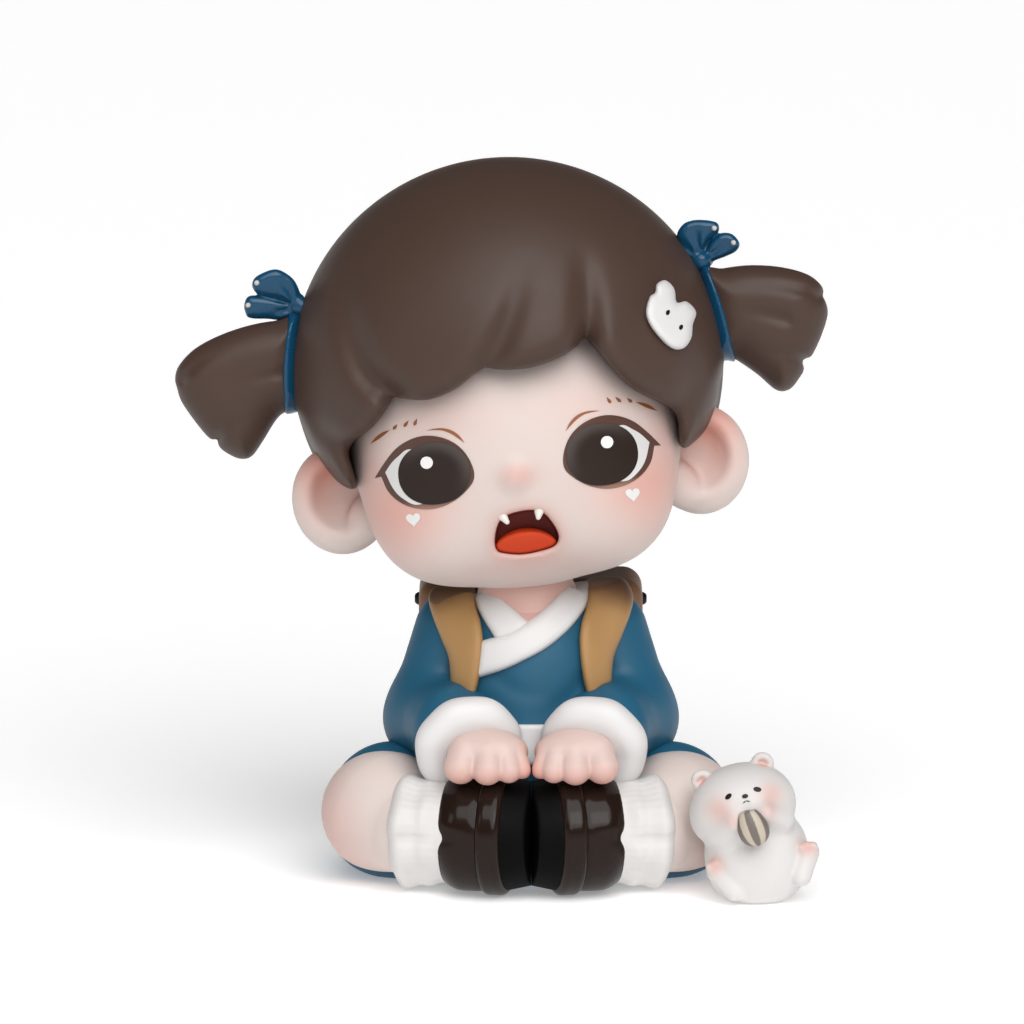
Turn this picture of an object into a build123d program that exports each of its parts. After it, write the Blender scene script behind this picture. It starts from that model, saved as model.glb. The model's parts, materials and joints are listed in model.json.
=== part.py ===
"""Seated vinyl toy figure with side pigtails and a backpack, and a loose hamster beside its knee.

Millimetres, +Z up. The figure looks along -Y and its own left side is +X.
The origin is on the table, at the middle of the flat seat plate.
Head pieces are drawn in the head's own frame: skull centre at its origin, face towards -Y, neck axis along Z.
"""

import os
from math import cos, radians, sin

from build123d import *

os.makedirs("parts", exist_ok=True)

# ------------------------------------------------------------------ driving dimensions
FIT = 0.05  # radial running clearance of a shaft in its bore
GAP = 0.3  # space kept between pieces that move past each other
FAR = 80.0  # reach of a cutting body, past everything

HEAD_CENTRE = (-2.2, -2.0, 73.0)
HEAD_ROLL = 6.5  # the crown leans to the figure's right
SKULL_RADIUS = 27.7
SKULL_HALF_HEIGHT = 25.0
SKULL_WALL = 2.4
NECK_RADIUS = 6.0

HAIR_CENTRE = (0, 2.5, 11.0)
HAIR_RADIUS = 35.8
HAIR_HALF_DEPTH = 32.5
HAIR_WALL = 3.0
CROWN_VOID_Z = 21.0  # the hair is hollow above this height
SEAM_Y = 10.5  # joint between the front and back hair pieces
FRINGE_BACK_Y = 4.0  # the face opening is cut back to here
NAPE_CENTRE = (0, 12, -11)
NAPE_RADIUS = 14.2

EAR_CENTRE = (30.0, 0.4, -7.3)
EAR_RADIUS = 8.4
EAR_THICKNESS = 5.6

EYE_CENTRE = (14.9, -1.0)
EYE_HALF_WIDTH = 7.5
EYE_HALF_HEIGHT = 5.85
EYE_THICKNESS = 0.4

MOUTH_CENTRE = (-0.5, -12.4)
MOUTH_HALF_WIDTH = 5.25
MOUTH_HALF_HEIGHT = 3.5
MOUTH_BACK_Y = -18.6
LINER_WALL = 0.8

RING_CENTRE = (37.0, 3.0, 17.5)
RING_DROOP = 6.0  # the pigtail pegs point this far below the head's own level
RING_RADIUS = 6.7
RING_TUBE = 1.7
STEM_RADIUS = 5.9
PIGTAIL_NECK_RADIUS = RING_RADIUS - RING_TUBE - GAP
PEG_RADIUS = 2.5
PEG_LENGTH = 6.0
PIGTAIL_BEND = 24.0  # the tail hangs this much below its peg
PIGTAIL_LENGTH = 19.0
PIGTAIL_END_RADIUS = 9.0
BOW_ROOT = (34.8, 3.0, 25.0)
BOW_LOOP = 3.4  # half the length of one loop

TORSO_WALL = 2.2
TORSO_OUTLINE = ((21.0, 2.5), (20.0, 8.0), (18.2, 16.0), (16.6, 24.0), (15.4, 32.0), (14.3, 38.5), (12.3, 43.6))
TORSO_TOP = (9.0, 46.2)
SEAT_RADIUS = 20.0
SEAT_PLATE_RADIUS = 17.0
SEAT_PLATE_THICKNESS = 1.6
FOOT_BAY_HEIGHT = 20.8
COLLAR_THICKNESS = 1.3
COLLAR_BACK_Y = 2.5  # the collars stop here, clear of the hair as the head turns
STRAP_THICKNESS = 2.2

FOOT_CENTRE = (3.4, -24.0, 10.3)
FOOT_YAW = 12.0  # the soles open towards the front by this much each
WELT_RADIUS = 10.3
WELT_THICKNESS = 3.4
TREAD_RADIUS = 9.0
TREAD_THICKNESS = 1.0
SHOE_LENGTH = 11.3
SHOE_RADIUS = 9.5
SOCK_START = 8.2
SOCK_END = 20.0
SOCK_RADIUS = 9.1
KNEE_CENTRE = (24.2, -14.6, 11.0)
KNEE_RADIUS = 10.2
THIGH_RADIUS = 10.4

BAG_HALF_WIDTH = 17.3
BAG_FRONT_Y = 12.0
BAG_BACK_Y = 28.0
BAG_TOP_Z = 40.0
BAG_BOTTOM_Z = 13.0
FLAP_HALF_WIDTH = 18.9
FLAP_BACK_Y = 29.6
FLAP_TOP_Z = 45.8
FLAP_BOTTOM_Z = 36.5
BAG_PEG_RADIUS = 2.0
BAG_PEG_X = 7.0
BAG_PEG_Z = 33.0
STUD_RADIUS = 1.5

HAMSTER_BASE = (39.2, -28.0, 0.0)
HAMSTER_ROLL = 12.0


# ------------------------------------------------------------------ helpers
def spheroid(centre, axis, along, across):
    """A solid spheroid with half length `along` on its axis and radius `across` about it."""
    line = Vector(*axis).normalized()
    side = line.cross(Vector(0, 1, 0) if abs(line.Z) > 0.9 else Vector(0, 0, 1)).normalized()
    with BuildPart() as body:
        with BuildSketch(Plane(origin=centre, x_dir=line, z_dir=side)):
            Ellipse(along, across)
            Rectangle(2 * along + 2, across + 1, align=(Align.CENTER, Align.MAX), mode=Mode.SUBTRACT)
        revolve(axis=Axis(centre, line))
    return body.part


def rod(start, end, radius, end_round=0.0, end_radius=None):
    """A round rod or cone from one point to another, its end edges rounded by `end_round`."""
    line = Vector(*end) - Vector(*start)
    with BuildPart() as body:
        with BuildSketch(Plane(origin=start, z_dir=line)):
            Circle(radius)
        if end_radius:
            with BuildSketch(Plane(origin=end, z_dir=line)):
                Circle(end_radius)
            loft(ruled=True)
        else:
            extrude(amount=line.length)
        if end_round:
            fillet(body.edges().filter_by(GeomType.CIRCLE), end_round)
    return body.part


def cut_below_table():
    """Takes away what the open part has under the table's surface."""
    with Locations((0, 0, 0)):
        Box(2 * FAR, 2 * FAR, FAR, align=(Align.CENTER, Align.CENTER, Align.MAX), mode=Mode.SUBTRACT)


def cut(*tools):
    """Takes each tool away from the open part."""
    for tool in tools:
        add(tool, mode=Mode.SUBTRACT)


def both(*tools):
    """Each tool and its mirror image on the other side."""
    return (*tools, *(mirror(tool, about=Plane.YZ) for tool in tools))


def save(part, name, frame=None):
    """Labels a finished piece and writes it, placed in the toy's frame."""
    placed = part.moved(frame.location) if frame else part
    placed.label = name
    export_step(placed, f"parts/{name}.step")


def save_pair(part, name, frame=None):
    """Writes a piece drawn for the +X side as NAME_left, and its mirror image as NAME_right."""
    save(part, f"{name}_left", frame)
    save(mirror(part, about=Plane.YZ), f"{name}_right", frame)


def tilted_frame(origin, roll):
    """A frame turned by `roll` degrees so that its top leans to -X."""
    lean = radians(roll)
    return Plane(origin=origin, x_dir=(cos(lean), 0, sin(lean)), z_dir=(-sin(lean), 0, cos(lean)))


head_frame = tilted_frame(HEAD_CENTRE, HEAD_ROLL)

# ------------------------------------------------------------------ head: pigtails and their ribbon rings
peg_line = Vector(cos(radians(RING_DROOP)), 0, -sin(radians(RING_DROOP)))
tail_angle = radians(RING_DROOP + PIGTAIL_BEND)
tail_line = Vector(cos(tail_angle), 0, -sin(tail_angle))
ring_centre = Vector(*RING_CENTRE)
peg_start = ring_centre - peg_line * PEG_LENGTH
peg_socket = rod(peg_start - peg_line * GAP, ring_centre + peg_line, PEG_RADIUS + FIT)
hair_stem = rod(ring_centre - peg_line * 9, ring_centre - peg_line * GAP, STEM_RADIUS)

with BuildPart() as ribbon_band:
    with BuildSketch(Plane(origin=ring_centre, x_dir=peg_line, z_dir=(0, -1, 0))):
        with Locations((0, RING_RADIUS)):
            Ellipse(RING_TUBE * 1.15, RING_TUBE)
    revolve(axis=Axis(ring_centre, peg_line))
    cut(hair_stem)

tail_start = ring_centre + peg_line * 2.2
with BuildPart() as pigtail:
    add(rod(peg_start, ring_centre + peg_line, PEG_RADIUS))
    add(rod(ring_centre, ring_centre + peg_line * 3.4, PIGTAIL_NECK_RADIUS))
    add(rod(tail_start, tail_start + tail_line * PIGTAIL_LENGTH, PIGTAIL_NECK_RADIUS, 0, PIGTAIL_END_RADIUS))
    tail_end = pigtail.edges().filter_by(GeomType.CIRCLE).sort_by(SortBy.RADIUS)[-1]
    fillet(tail_end, 3.2)

with BuildPart() as ribbon_bow:
    for rise in (52, 17):
        bow_line = Vector(cos(radians(rise)), 0, sin(radians(rise)))
        add(spheroid(Vector(*BOW_ROOT) + bow_line * (BOW_LOOP * 0.95), bow_line, BOW_LOOP, 2.3))
    cut(ribbon_band.part)

# ------------------------------------------------------------------ head: skull, ears, face
skull = spheroid((0, 0, 0), (0, 0, 1), SKULL_HALF_HEIGHT, SKULL_RADIUS)
skull_hollow = spheroid((0, 0, 0), (0, 0, 1), SKULL_HALF_HEIGHT - SKULL_WALL, SKULL_RADIUS - SKULL_WALL)
eye_surface = spheroid((0, 0, 0), (0, 0, 1), SKULL_HALF_HEIGHT + EYE_THICKNESS, SKULL_RADIUS + EYE_THICKNESS)

ear_front = Vector(*EAR_CENTRE) - Vector(0, EAR_THICKNESS / 2, 0)
with BuildPart() as ear:
    add(rod(ear_front, ear_front + Vector(0, EAR_THICKNESS, 0), EAR_RADIUS, 2.4))
    with Locations(ear_front + Vector(-0.4, -3.4, 0.5)):
        Sphere(5.6, mode=Mode.SUBTRACT)
    cut(skull)

with BuildPart() as eye:
    with BuildSketch(Plane.XZ):
        with Locations(EYE_CENTRE):
            Ellipse(EYE_HALF_WIDTH, EYE_HALF_HEIGHT)
    extrude(amount=FAR)
    add(eye_surface, mode=Mode.INTERSECT)
    cut(skull)


def mouth_prism(inset):
    """The open mouth as a prism towards -Y: a half-round arch over a shallow curve."""
    with BuildPart() as prism:
        with BuildSketch(Plane.XZ.offset(-MOUTH_BACK_Y + inset)):
            with BuildLine():
                low = MOUTH_CENTRE[1] - MOUTH_HALF_HEIGHT * 0.45
                left = (MOUTH_CENTRE[0] - MOUTH_HALF_WIDTH, low)
                right = (MOUTH_CENTRE[0] + MOUTH_HALF_WIDTH, low)
                ThreePointArc(left, (MOUTH_CENTRE[0], MOUTH_CENTRE[1] + MOUTH_HALF_HEIGHT), right)
                ThreePointArc(right, (MOUTH_CENTRE[0], MOUTH_CENTRE[1] - MOUTH_HALF_HEIGHT), left)
            make_face()
            if inset:
                offset(amount=-inset)
        extrude(amount=FAR)
    return prism.part


mouth_hollow = mouth_prism(LINER_WALL)

with BuildPart() as mouth_pocket:
    add(mouth_prism(0))
    add(skull, mode=Mode.INTERSECT)

with BuildPart() as mouth_liner:
    add(mouth_pocket.part)
    cut(mouth_hollow)

with BuildPart() as tongue:
    with Locations((MOUTH_CENTRE[0], MOUTH_BACK_Y + 1.2, MOUTH_CENTRE[1] - MOUTH_HALF_HEIGHT * 0.75)):
        Sphere(3.6)
    add(mouth_hollow, mode=Mode.INTERSECT)

fangs = []
for side in (1, -1):
    with BuildPart() as fang:
        fang_x = MOUTH_CENTRE[0] + side * MOUTH_HALF_WIDTH * 0.55
        with Locations((fang_x, MOUTH_BACK_Y - 3.4, MOUTH_CENTRE[1] + MOUTH_HALF_HEIGHT * 0.25)):
            Cone(0.35, 0.95, 2.6)
        add(mouth_hollow, mode=Mode.INTERSECT)
    fangs.append(fang.part)

with BuildPart() as head_shell:
    add(skull)
    cut(skull_hollow)
    with Locations((0, 0, -SKULL_HALF_HEIGHT)):
        Cylinder(NECK_RADIUS, 3 * SKULL_WALL, mode=Mode.SUBTRACT)
    cut(mouth_pocket.part)

# ------------------------------------------------------------------ head: hair, in a front and a back piece
with BuildPart() as crown_void:
    add(spheroid(HAIR_CENTRE, (0, 1, 0), HAIR_HALF_DEPTH - HAIR_WALL, HAIR_RADIUS - HAIR_WALL))
    split(bisect_by=Plane.XY.offset(CROWN_VOID_Z), keep=Keep.TOP)

dome = spheroid(HAIR_CENTRE, (0, 1, 0), HAIR_HALF_DEPTH, HAIR_RADIUS)
seam = Plane.XZ.offset(-SEAM_Y)
nape_opening = rod((0, 0, -FAR), (0, 0, -15), NECK_RADIUS + 4)

with BuildPart() as hair_front:
    add(dome)
    split(bisect_by=seam, keep=Keep.TOP)
    # The hairline: a side lock, two round locks, the parting at its highest point, a swept lock, a side lock.
    with BuildSketch(Plane.XZ.offset(-FRINGE_BACK_Y)):
        with BuildLine():
            side_right = Line((-27.9, -3.4), (-28.6, 3.6))
            lock_1 = ThreePointArc(side_right @ 1, (-23.6, 7.8), (-19.6, 13.2))
            lock_2 = ThreePointArc(lock_1 @ 1, (-11.8, 12.8), (-3.7, 17.1))
            lock_3 = ThreePointArc(lock_2 @ 1, (4.5, 16.1), (13.2, 20.1))
            lock_4 = ThreePointArc(lock_3 @ 1, (18.9, 11.6), (26.2, 4.9))
            side_left = Line(lock_4 @ 1, (27.4, -2.8))
            Polyline(side_left @ 1, (34.0, -0.5), (FAR, -0.5), (FAR, -FAR), (-FAR, -FAR), (-FAR, -0.5),
                     (-34.0, -0.5), side_right @ 0)
        make_face()
    extrude(amount=FAR, mode=Mode.SUBTRACT)
    for stem in both(hair_stem):
        add(stem)
    cut(skull, crown_void.part, nape_opening, *both(ear.part, ribbon_band.part, peg_socket))

with BuildPart() as hair_back:
    add(dome)
    with Locations(NAPE_CENTRE):
        Sphere(NAPE_RADIUS)
    split(bisect_by=seam, keep=Keep.BOTTOM)
    cut(skull, crown_void.part, nape_opening)

# ------------------------------------------------------------------ head: rabbit-shaped clip on the hair
clip_normal = Vector(0.72, -0.65, 0.24).normalized()
clip_side = Vector(0.60, 0.45, -0.66)  # across the clip, which is turned clockwise
clip_side = clip_side - clip_normal * clip_side.dot(clip_normal)
with BuildPart() as hair_clip:
    with BuildSketch(Plane(origin=(26.2, -15.5, 20.0), x_dir=clip_side, z_dir=clip_normal)):
        Ellipse(4.2, 3.5)
        with Locations((-2.0, 3.8), (2.2, 3.4)):
            Ellipse(1.6, 2.4)
    extrude(amount=3.0)
    cut(hair_front.part)

# ------------------------------------------------------------------ neck post, fixed in the torso, on the head's axis
with BuildPart() as neck_post:
    with Locations((0, 0, -29.0)):
        Cylinder(8.0, 3.6, align=(Align.CENTER, Align.CENTER, Align.MIN))
        Cylinder(NECK_RADIUS - FIT, 9.0, align=(Align.CENTER, Align.CENTER, Align.MIN))
    with Locations((0, 0, -20.7)):
        Cylinder(7.8, 1.6, align=(Align.CENTER, Align.CENTER, Align.MIN))
    chamfer(neck_post.edges().filter_by(GeomType.CIRCLE).group_by(Axis.Z)[-1], 0.5)

neck_clear = rod((0, 0, -29.0), (0, 0, -21.0), 8.0).moved(head_frame.location)
head_sweep = spheroid((0, 0, 0), (0, 0, 1), SKULL_HALF_HEIGHT + GAP, SKULL_RADIUS + GAP).moved(head_frame.location)


# ------------------------------------------------------------------ torso and what lies on it
def torso(grow):
    """The robed body as a turned solid, thicker by `grow` at its sides and shoulders."""
    with BuildPart() as body:
        with BuildSketch(Plane.YZ):
            with BuildLine():
                foot = Line((0, 0), (SEAT_RADIUS + grow, 0))
                side = Spline(foot @ 1, *((r + grow, z) for r, z in TORSO_OUTLINE))
                shoulder = Spline(side @ 1, (TORSO_TOP[0] + grow * 0.6, TORSO_TOP[1] + grow * 0.8),
                                  (0, TORSO_TOP[1] + 1 + grow), tangents=(side % 1, (-1, 0)))
                Line(shoulder @ 1, (0, 0))
            make_face()
        revolve(axis=Axis.Z)
    return body.part


torso_solid = torso(0)
torso_hollow = torso(-TORSO_WALL)


def front_layer(outline, thickness, back_y):
    """What lies on the torso's surface within an outline on the front plane, forward of back_y."""
    with BuildPart() as layer:
        with BuildSketch(Plane.XZ.offset(-back_y)):
            with BuildLine():
                Polyline(*outline, close=True)
            make_face()
        extrude(amount=FAR)
        add(torso(thickness), mode=Mode.INTERSECT)
        cut(torso_solid, head_sweep, neck_clear)
    return layer.part


with BuildPart() as chest_skin:
    with BuildSketch(Plane.XZ.offset(6)):
        Polygon((-8, 48.5), (9.5, 48.5), (-0.6, 40.5), align=None)
    extrude(amount=FAR)
    add(torso_solid, mode=Mode.INTERSECT)
    cut(torso_hollow, head_sweep, neck_clear)

COLLAR_OVER = ((7.2, 50), (4.8, 46.2), (-1.0, 42.5), (-5.5, 40.1), (-8.8, 39.2), (-9.2, 34.9), (-3.5, 36.2),
               (1.5, 38.4), (6.5, 41.5), (9.8, 45.2), (12.0, 50))
COLLAR_UNDER = ((-12.0, 50), (-9.3, 45.2), (-4.6, 39.0), (-0.2, 41.2), (-4.3, 48.0), (-5.4, 50))
HEM = ((-5.5, 21.0), (-5.5, 26.5), (5.5, 26.5), (5.5, 21.0))
collar_over = front_layer(COLLAR_OVER, COLLAR_THICKNESS, COLLAR_BACK_Y)
jacket_hem = front_layer(HEM, COLLAR_THICKNESS, 0)
with BuildPart() as collar_under:
    add(front_layer(COLLAR_UNDER, COLLAR_THICKNESS, COLLAR_BACK_Y))
    cut(collar_over)

# ------------------------------------------------------------------ legs and feet, drawn for the +X side
foot_out = Vector(cos(radians(FOOT_YAW)), sin(radians(FOOT_YAW)), 0)
foot_plane = Plane(origin=FOOT_CENTRE, x_dir=(-foot_out.Y, foot_out.X, 0), z_dir=foot_out)


def foot_point(out):
    """A point on the foot's axis, this far out from the outer face of the sole."""
    return Vector(*FOOT_CENTRE) + foot_out * out


with BuildPart() as sole_welt:
    add(rod(foot_point(0), foot_point(WELT_THICKNESS), WELT_RADIUS, 0.9))
    cut_below_table()

with BuildPart() as sole_tread:
    add(rod(foot_point(-TREAD_THICKNESS), foot_point(0), TREAD_RADIUS))
    fillet(sole_tread.edges().filter_by(GeomType.CIRCLE).sort_by(Axis.X)[0], 0.4)

with BuildPart() as shoe_upper:
    add(rod(foot_point(WELT_THICKNESS), foot_point(SHOE_LENGTH), SHOE_RADIUS))
    fillet(shoe_upper.edges().filter_by(GeomType.CIRCLE).sort_by(Axis.X)[-1], 4.6)

feet = (shoe_upper.part, sole_welt.part, sole_tread.part)

with BuildPart() as sock:
    add(rod(foot_point(SOCK_START), foot_point(SOCK_END), SOCK_RADIUS))
    fillet(sock.edges().filter_by(GeomType.CIRCLE).sort_by(Axis.X)[0], 0.8)
    cut(shoe_upper.part)

with BuildPart() as leg:
    with Locations(KNEE_CENTRE):
        Sphere(KNEE_RADIUS)
    split(bisect_by=foot_plane.offset(SOCK_END), keep=Keep.TOP)

with BuildPart() as trouser:
    add(rod((9, -6.0, THIGH_RADIUS), (30.6, -4.4, THIGH_RADIUS), THIGH_RADIUS, 8.0))
    cut(leg.part, sock.part, shoe_upper.part, torso_solid)
    cut_below_table()

# ------------------------------------------------------------------ torso shell and the plate it sits on
with BuildPart() as seat_plate:
    Cylinder(SEAT_PLATE_RADIUS, SEAT_PLATE_THICKNESS, align=(Align.CENTER, Align.CENTER, Align.MIN))
    fillet(seat_plate.edges().group_by(Axis.Z)[-1], 0.5)


def foot_bay(wall):
    """The room for the feet in the torso's front, with its back and top moved out by a wall thickness."""
    with BuildPart() as bay:
        with BuildSketch():
            Polygon((0, wall - 13.3), (26, wall - 8.7), (26, -FAR), (-26, -FAR), (-26, wall - 8.7), align=None)
        extrude(amount=FOOT_BAY_HEIGHT + wall)
    return bay.part


with BuildPart() as bay_lining:
    add(foot_bay(TORSO_WALL))
    add(torso_solid, mode=Mode.INTERSECT)

with BuildPart() as torso_shell:
    add(torso_solid)
    cut(torso_hollow, chest_skin.part, neck_clear)
    add(bay_lining.part)
    cut(foot_bay(0), seat_plate.part)
    for x in (-BAG_PEG_X, BAG_PEG_X):
        cut(rod((x, 5, BAG_PEG_Z), (x, FAR, BAG_PEG_Z), BAG_PEG_RADIUS + FIT))

# ------------------------------------------------------------------ arms, drawn for the +X side
cuff_line = Vector(-0.22, -0.90, -0.36).normalized()
cuff_end = Vector(9.0, -24.0, 24.2)
wrist = cuff_end - cuff_line * 5.7

with BuildPart() as hand:
    add(rod((0.5, -27.0, 23.4), (14.2, -26.4, 23.4), 4.7, 4.2))
    add(rod(wrist + cuff_line * 3.6, cuff_end + cuff_line * 2.0, 3.8))
    cut(*feet)

with BuildPart() as cuff:
    add(rod(wrist, cuff_end, 8.2, 1.6, 8.9))
    cut(hand.part, torso_solid, jacket_hem, sock.part, *feet)
    split(bisect_by=Plane.YZ.offset(0.1), keep=Keep.TOP)

with BuildPart() as sleeve:
    add(rod((11.2, 0.8, 45.2), (16.9, -1.6, 24.0), 6.8, 5.6))
    add(rod((17.2, 1.5, 25.6), (12.2, -17.5, 26.2), 7.9, 5.6))
    cut(torso_solid, cuff.part, hand.part, leg.part, sock.part, trouser.part, head_sweep)

STRAP = ((17.9, 50), (17.7, 46.5), (16.8, 43.5), (14.8, 37.6), (13.4, 32.0), (10.4, 32.0), (8.5, 37.6),
         (8.0, 41.8), (9.6, 46.5), (10.0, 50))
with BuildPart() as strap:
    add(front_layer(STRAP, STRAP_THICKNESS, BAG_FRONT_Y - GAP))
    cut(sleeve.part, *both(collar_over, collar_under.part))

# ------------------------------------------------------------------ backpack, which pulls off backwards
bag_clear = torso(GAP)
with BuildPart() as backpack_flap:
    with Locations((0, (BAG_FRONT_Y + FLAP_BACK_Y) / 2, (FLAP_TOP_Z + FLAP_BOTTOM_Z) / 2)):
        Box(2 * FLAP_HALF_WIDTH, FLAP_BACK_Y - BAG_FRONT_Y, FLAP_TOP_Z - FLAP_BOTTOM_Z)
    fillet(backpack_flap.edges().filter_by(Axis.Z), 5.0)
    fillet(backpack_flap.edges().group_by(Axis.Z)[-1], 2.6)
    cut(bag_clear)

with BuildPart() as backpack_case:
    with Locations((0, (BAG_FRONT_Y + BAG_BACK_Y) / 2, (BAG_TOP_Z + BAG_BOTTOM_Z) / 2)):
        Box(2 * BAG_HALF_WIDTH, BAG_BACK_Y - BAG_FRONT_Y, BAG_TOP_Z - BAG_BOTTOM_Z)
    fillet(backpack_case.edges().filter_by(Axis.Z), 4.0)
    fillet(backpack_case.edges().group_by(Axis.Z)[0], 3.0)
    cut(bag_clear)
    for x in (-BAG_PEG_X, BAG_PEG_X):
        add(rod((x, 10.0, BAG_PEG_Z), (x, 20, BAG_PEG_Z), BAG_PEG_RADIUS))
    cut(backpack_flap.part)

with BuildPart() as backpack_stud:
    with Locations((FLAP_HALF_WIDTH, 21.5, 41.2)):
        Sphere(STUD_RADIUS)
    cut(backpack_flap.part)

# ------------------------------------------------------------------ hamster, a loose piece beside the left knee
hamster_frame = tilted_frame(HAMSTER_BASE, HAMSTER_ROLL)
hamster_seed = spheroid((0.6, -9.0, 10.2), (0.2, 0, -1), 3.1, 2.3)

with BuildPart() as hamster_upright:
    add(spheroid((0, 0, 6.8), (0, 0, 1), 8.2, 8.6))
    add(spheroid((0, 0, 16.0), (0, 0, 1), 7.2, 8.2))
    for side in (-1, 1):
        with Locations((side * 6.0, 1.0, 21.6)):
            Sphere(2.3)
        with Locations((side * 7.4, -5.4, 2.6)):
            Sphere(2.6)
    cut(hamster_seed)

with BuildPart() as hamster_body:
    add(hamster_upright.part.moved(hamster_frame.location))
    cut_below_table()

# ------------------------------------------------------------------ write every piece
for name, part in (
    ("head_shell", head_shell.part),
    ("mouth_liner", mouth_liner.part),
    ("tongue", tongue.part),
    ("fang_left", fangs[0]),
    ("fang_right", fangs[1]),
    ("hair_front", hair_front.part),
    ("hair_back", hair_back.part),
    ("hair_clip", hair_clip.part),
    ("neck_post", neck_post.part),
):
    save(part, name, head_frame)
for name, part in (
    ("ear", ear.part),
    ("eye", eye.part),
    ("pigtail", pigtail.part),
    ("ribbon_band", ribbon_band.part),
    ("ribbon_bow", ribbon_bow.part),
):
    save_pair(part, name, head_frame)
for name, part in (
    ("torso_shell", torso_shell.part),
    ("seat_plate", seat_plate.part),
    ("chest_skin", chest_skin.part),
    ("collar_over", collar_over),
    ("collar_under", collar_under.part),
    ("jacket_hem", jacket_hem),
    ("backpack_case", backpack_case.part),
    ("backpack_flap", backpack_flap.part),
    ("hamster_body", hamster_body.part),
):
    save(part, name)
save(hamster_seed, "hamster_seed", hamster_frame)
for name, part in (
    ("sleeve", sleeve.part),
    ("cuff", cuff.part),
    ("hand", hand.part),
    ("strap", strap.part),
    ("trouser", trouser.part),
    ("leg", leg.part),
    ("sock", sock.part),
    ("shoe_upper", shoe_upper.part),
    ("sole_welt", sole_welt.part),
    ("sole_tread", sole_tread.part),
    ("backpack_stud", backpack_stud.part),
):
    save_pair(part, name)
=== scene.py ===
"""Looks of the seated vinyl figure: each moulded part is a distance field in millimetres, meshed here.

Head parts are shaped in the head's own frame and hamster parts in the hamster's, then put in the row frame.
Printed and cut outlines are drawn as seen from the front, on a plane that leans back by FRONT_TILT.
"""

import json
from math import cos, pi, radians, sin

import bpy
import numpy as np
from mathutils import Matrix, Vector
from mathutils.geometry import delaunay_2d_cdt

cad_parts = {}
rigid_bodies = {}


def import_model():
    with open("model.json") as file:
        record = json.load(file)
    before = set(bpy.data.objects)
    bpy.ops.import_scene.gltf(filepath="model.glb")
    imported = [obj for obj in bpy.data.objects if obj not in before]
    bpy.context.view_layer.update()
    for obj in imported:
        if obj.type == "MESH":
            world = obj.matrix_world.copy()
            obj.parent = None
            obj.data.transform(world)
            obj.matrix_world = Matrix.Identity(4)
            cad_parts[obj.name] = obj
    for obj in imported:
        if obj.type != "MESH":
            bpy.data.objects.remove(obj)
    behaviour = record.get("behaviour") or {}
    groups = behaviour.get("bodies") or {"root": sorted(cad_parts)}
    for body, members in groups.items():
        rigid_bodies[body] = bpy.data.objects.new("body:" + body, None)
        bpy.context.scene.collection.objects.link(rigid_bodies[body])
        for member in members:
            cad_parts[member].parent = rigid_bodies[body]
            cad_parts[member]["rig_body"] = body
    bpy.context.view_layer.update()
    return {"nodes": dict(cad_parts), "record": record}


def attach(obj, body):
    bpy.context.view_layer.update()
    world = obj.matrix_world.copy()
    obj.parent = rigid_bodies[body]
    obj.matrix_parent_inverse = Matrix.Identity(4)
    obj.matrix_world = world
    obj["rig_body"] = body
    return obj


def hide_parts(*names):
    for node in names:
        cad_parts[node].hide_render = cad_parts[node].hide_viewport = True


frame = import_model()
joints = {j["name"]: j for j in frame["record"]["behaviour"]["joints"]}

MM = 0.001
FAR = 90.0  # past every part
SIDES = (("left", 1), ("right", -1))  # the figure's left is +X
FRONT_TILT = radians(10)
LOOK = np.array((0, cos(FRONT_TILT), -sin(FRONT_TILT)))  # the direction in which the front view looks
IN_FRONT = 60.0  # how far in front of a shape its sight lines start
HEAD_ROLL = radians(6.5)
HAMSTER_ROLL = radians(12)
NECK_TO_CENTRE = 24.0  # from the neck joint up to the skull's centre

head_axis = np.array(joints["head_turn"]["axis"])
HEAD_CENTRE = np.array(joints["head_turn"]["pos_m"]) / MM + head_axis * NECK_TO_CENTRE
HAMSTER_BASE = np.array((39.2, -28.0, 0.0))
DETAIL = 1.0  # a coarser mesh while trying things


# ------------ frames and the front drawing plane
class Part:
    """A tilted frame: its origin in the row frame, and its roll about the front-back axis."""

    def __init__(self, origin, roll, middle=0.0):
        self.origin = np.array(origin, float)
        self.middle = middle  # its pairs mirror about this x
        self.roll_cos, self.roll_sin = cos(roll), sin(roll)

    def to_row(self, p):
        x, y, z = p.T
        c, s = self.roll_cos, self.roll_sin
        return np.stack([c * x - s * z, y, s * x + c * z], 1) + self.origin

    def to_local(self, p):
        """The same points, given in the row frame, in this frame."""
        x, y, z = (p - self.origin).T
        c, s = self.roll_cos, self.roll_sin
        return np.stack([c * x + s * z, y, c * z - s * x], 1)

    def drawn(self, p):
        """Where a point of this frame shows on the front drawing plane, turned with the frame."""
        x, y, z = p.T
        c, s = self.roll_cos, self.roll_sin
        across = c * x - s * z
        up = (s * x + c * z) * cos(FRONT_TILT) + y * sin(FRONT_TILT)
        return c * across + s * up, c * up - s * across

    def sight(self, drawing):
        """Start points and the direction of the sight lines through points of the drawing plane."""
        c, s = self.roll_cos, self.roll_sin
        across = c * drawing[:, 0] - s * drawing[:, 1]
        up = s * drawing[:, 0] + c * drawing[:, 1]
        x, y, z = across, up * sin(FRONT_TILT), up * cos(FRONT_TILT)
        start = np.stack([c * x + s * z, y, c * z - s * x], 1)
        look = np.array((c * LOOK[0] + s * LOOK[2], LOOK[1], c * LOOK[2] - s * LOOK[0]))
        return start - look * IN_FRONT, look


HEAD = Part(HEAD_CENTRE, HEAD_ROLL, -0.4)
BODY = Part((0, 0, 0), 0)
HAMSTER = Part(HAMSTER_BASE, HAMSTER_ROLL)


# ------------ distance fields
def length(p):
    return np.sqrt((p * p).sum(-1))


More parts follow.
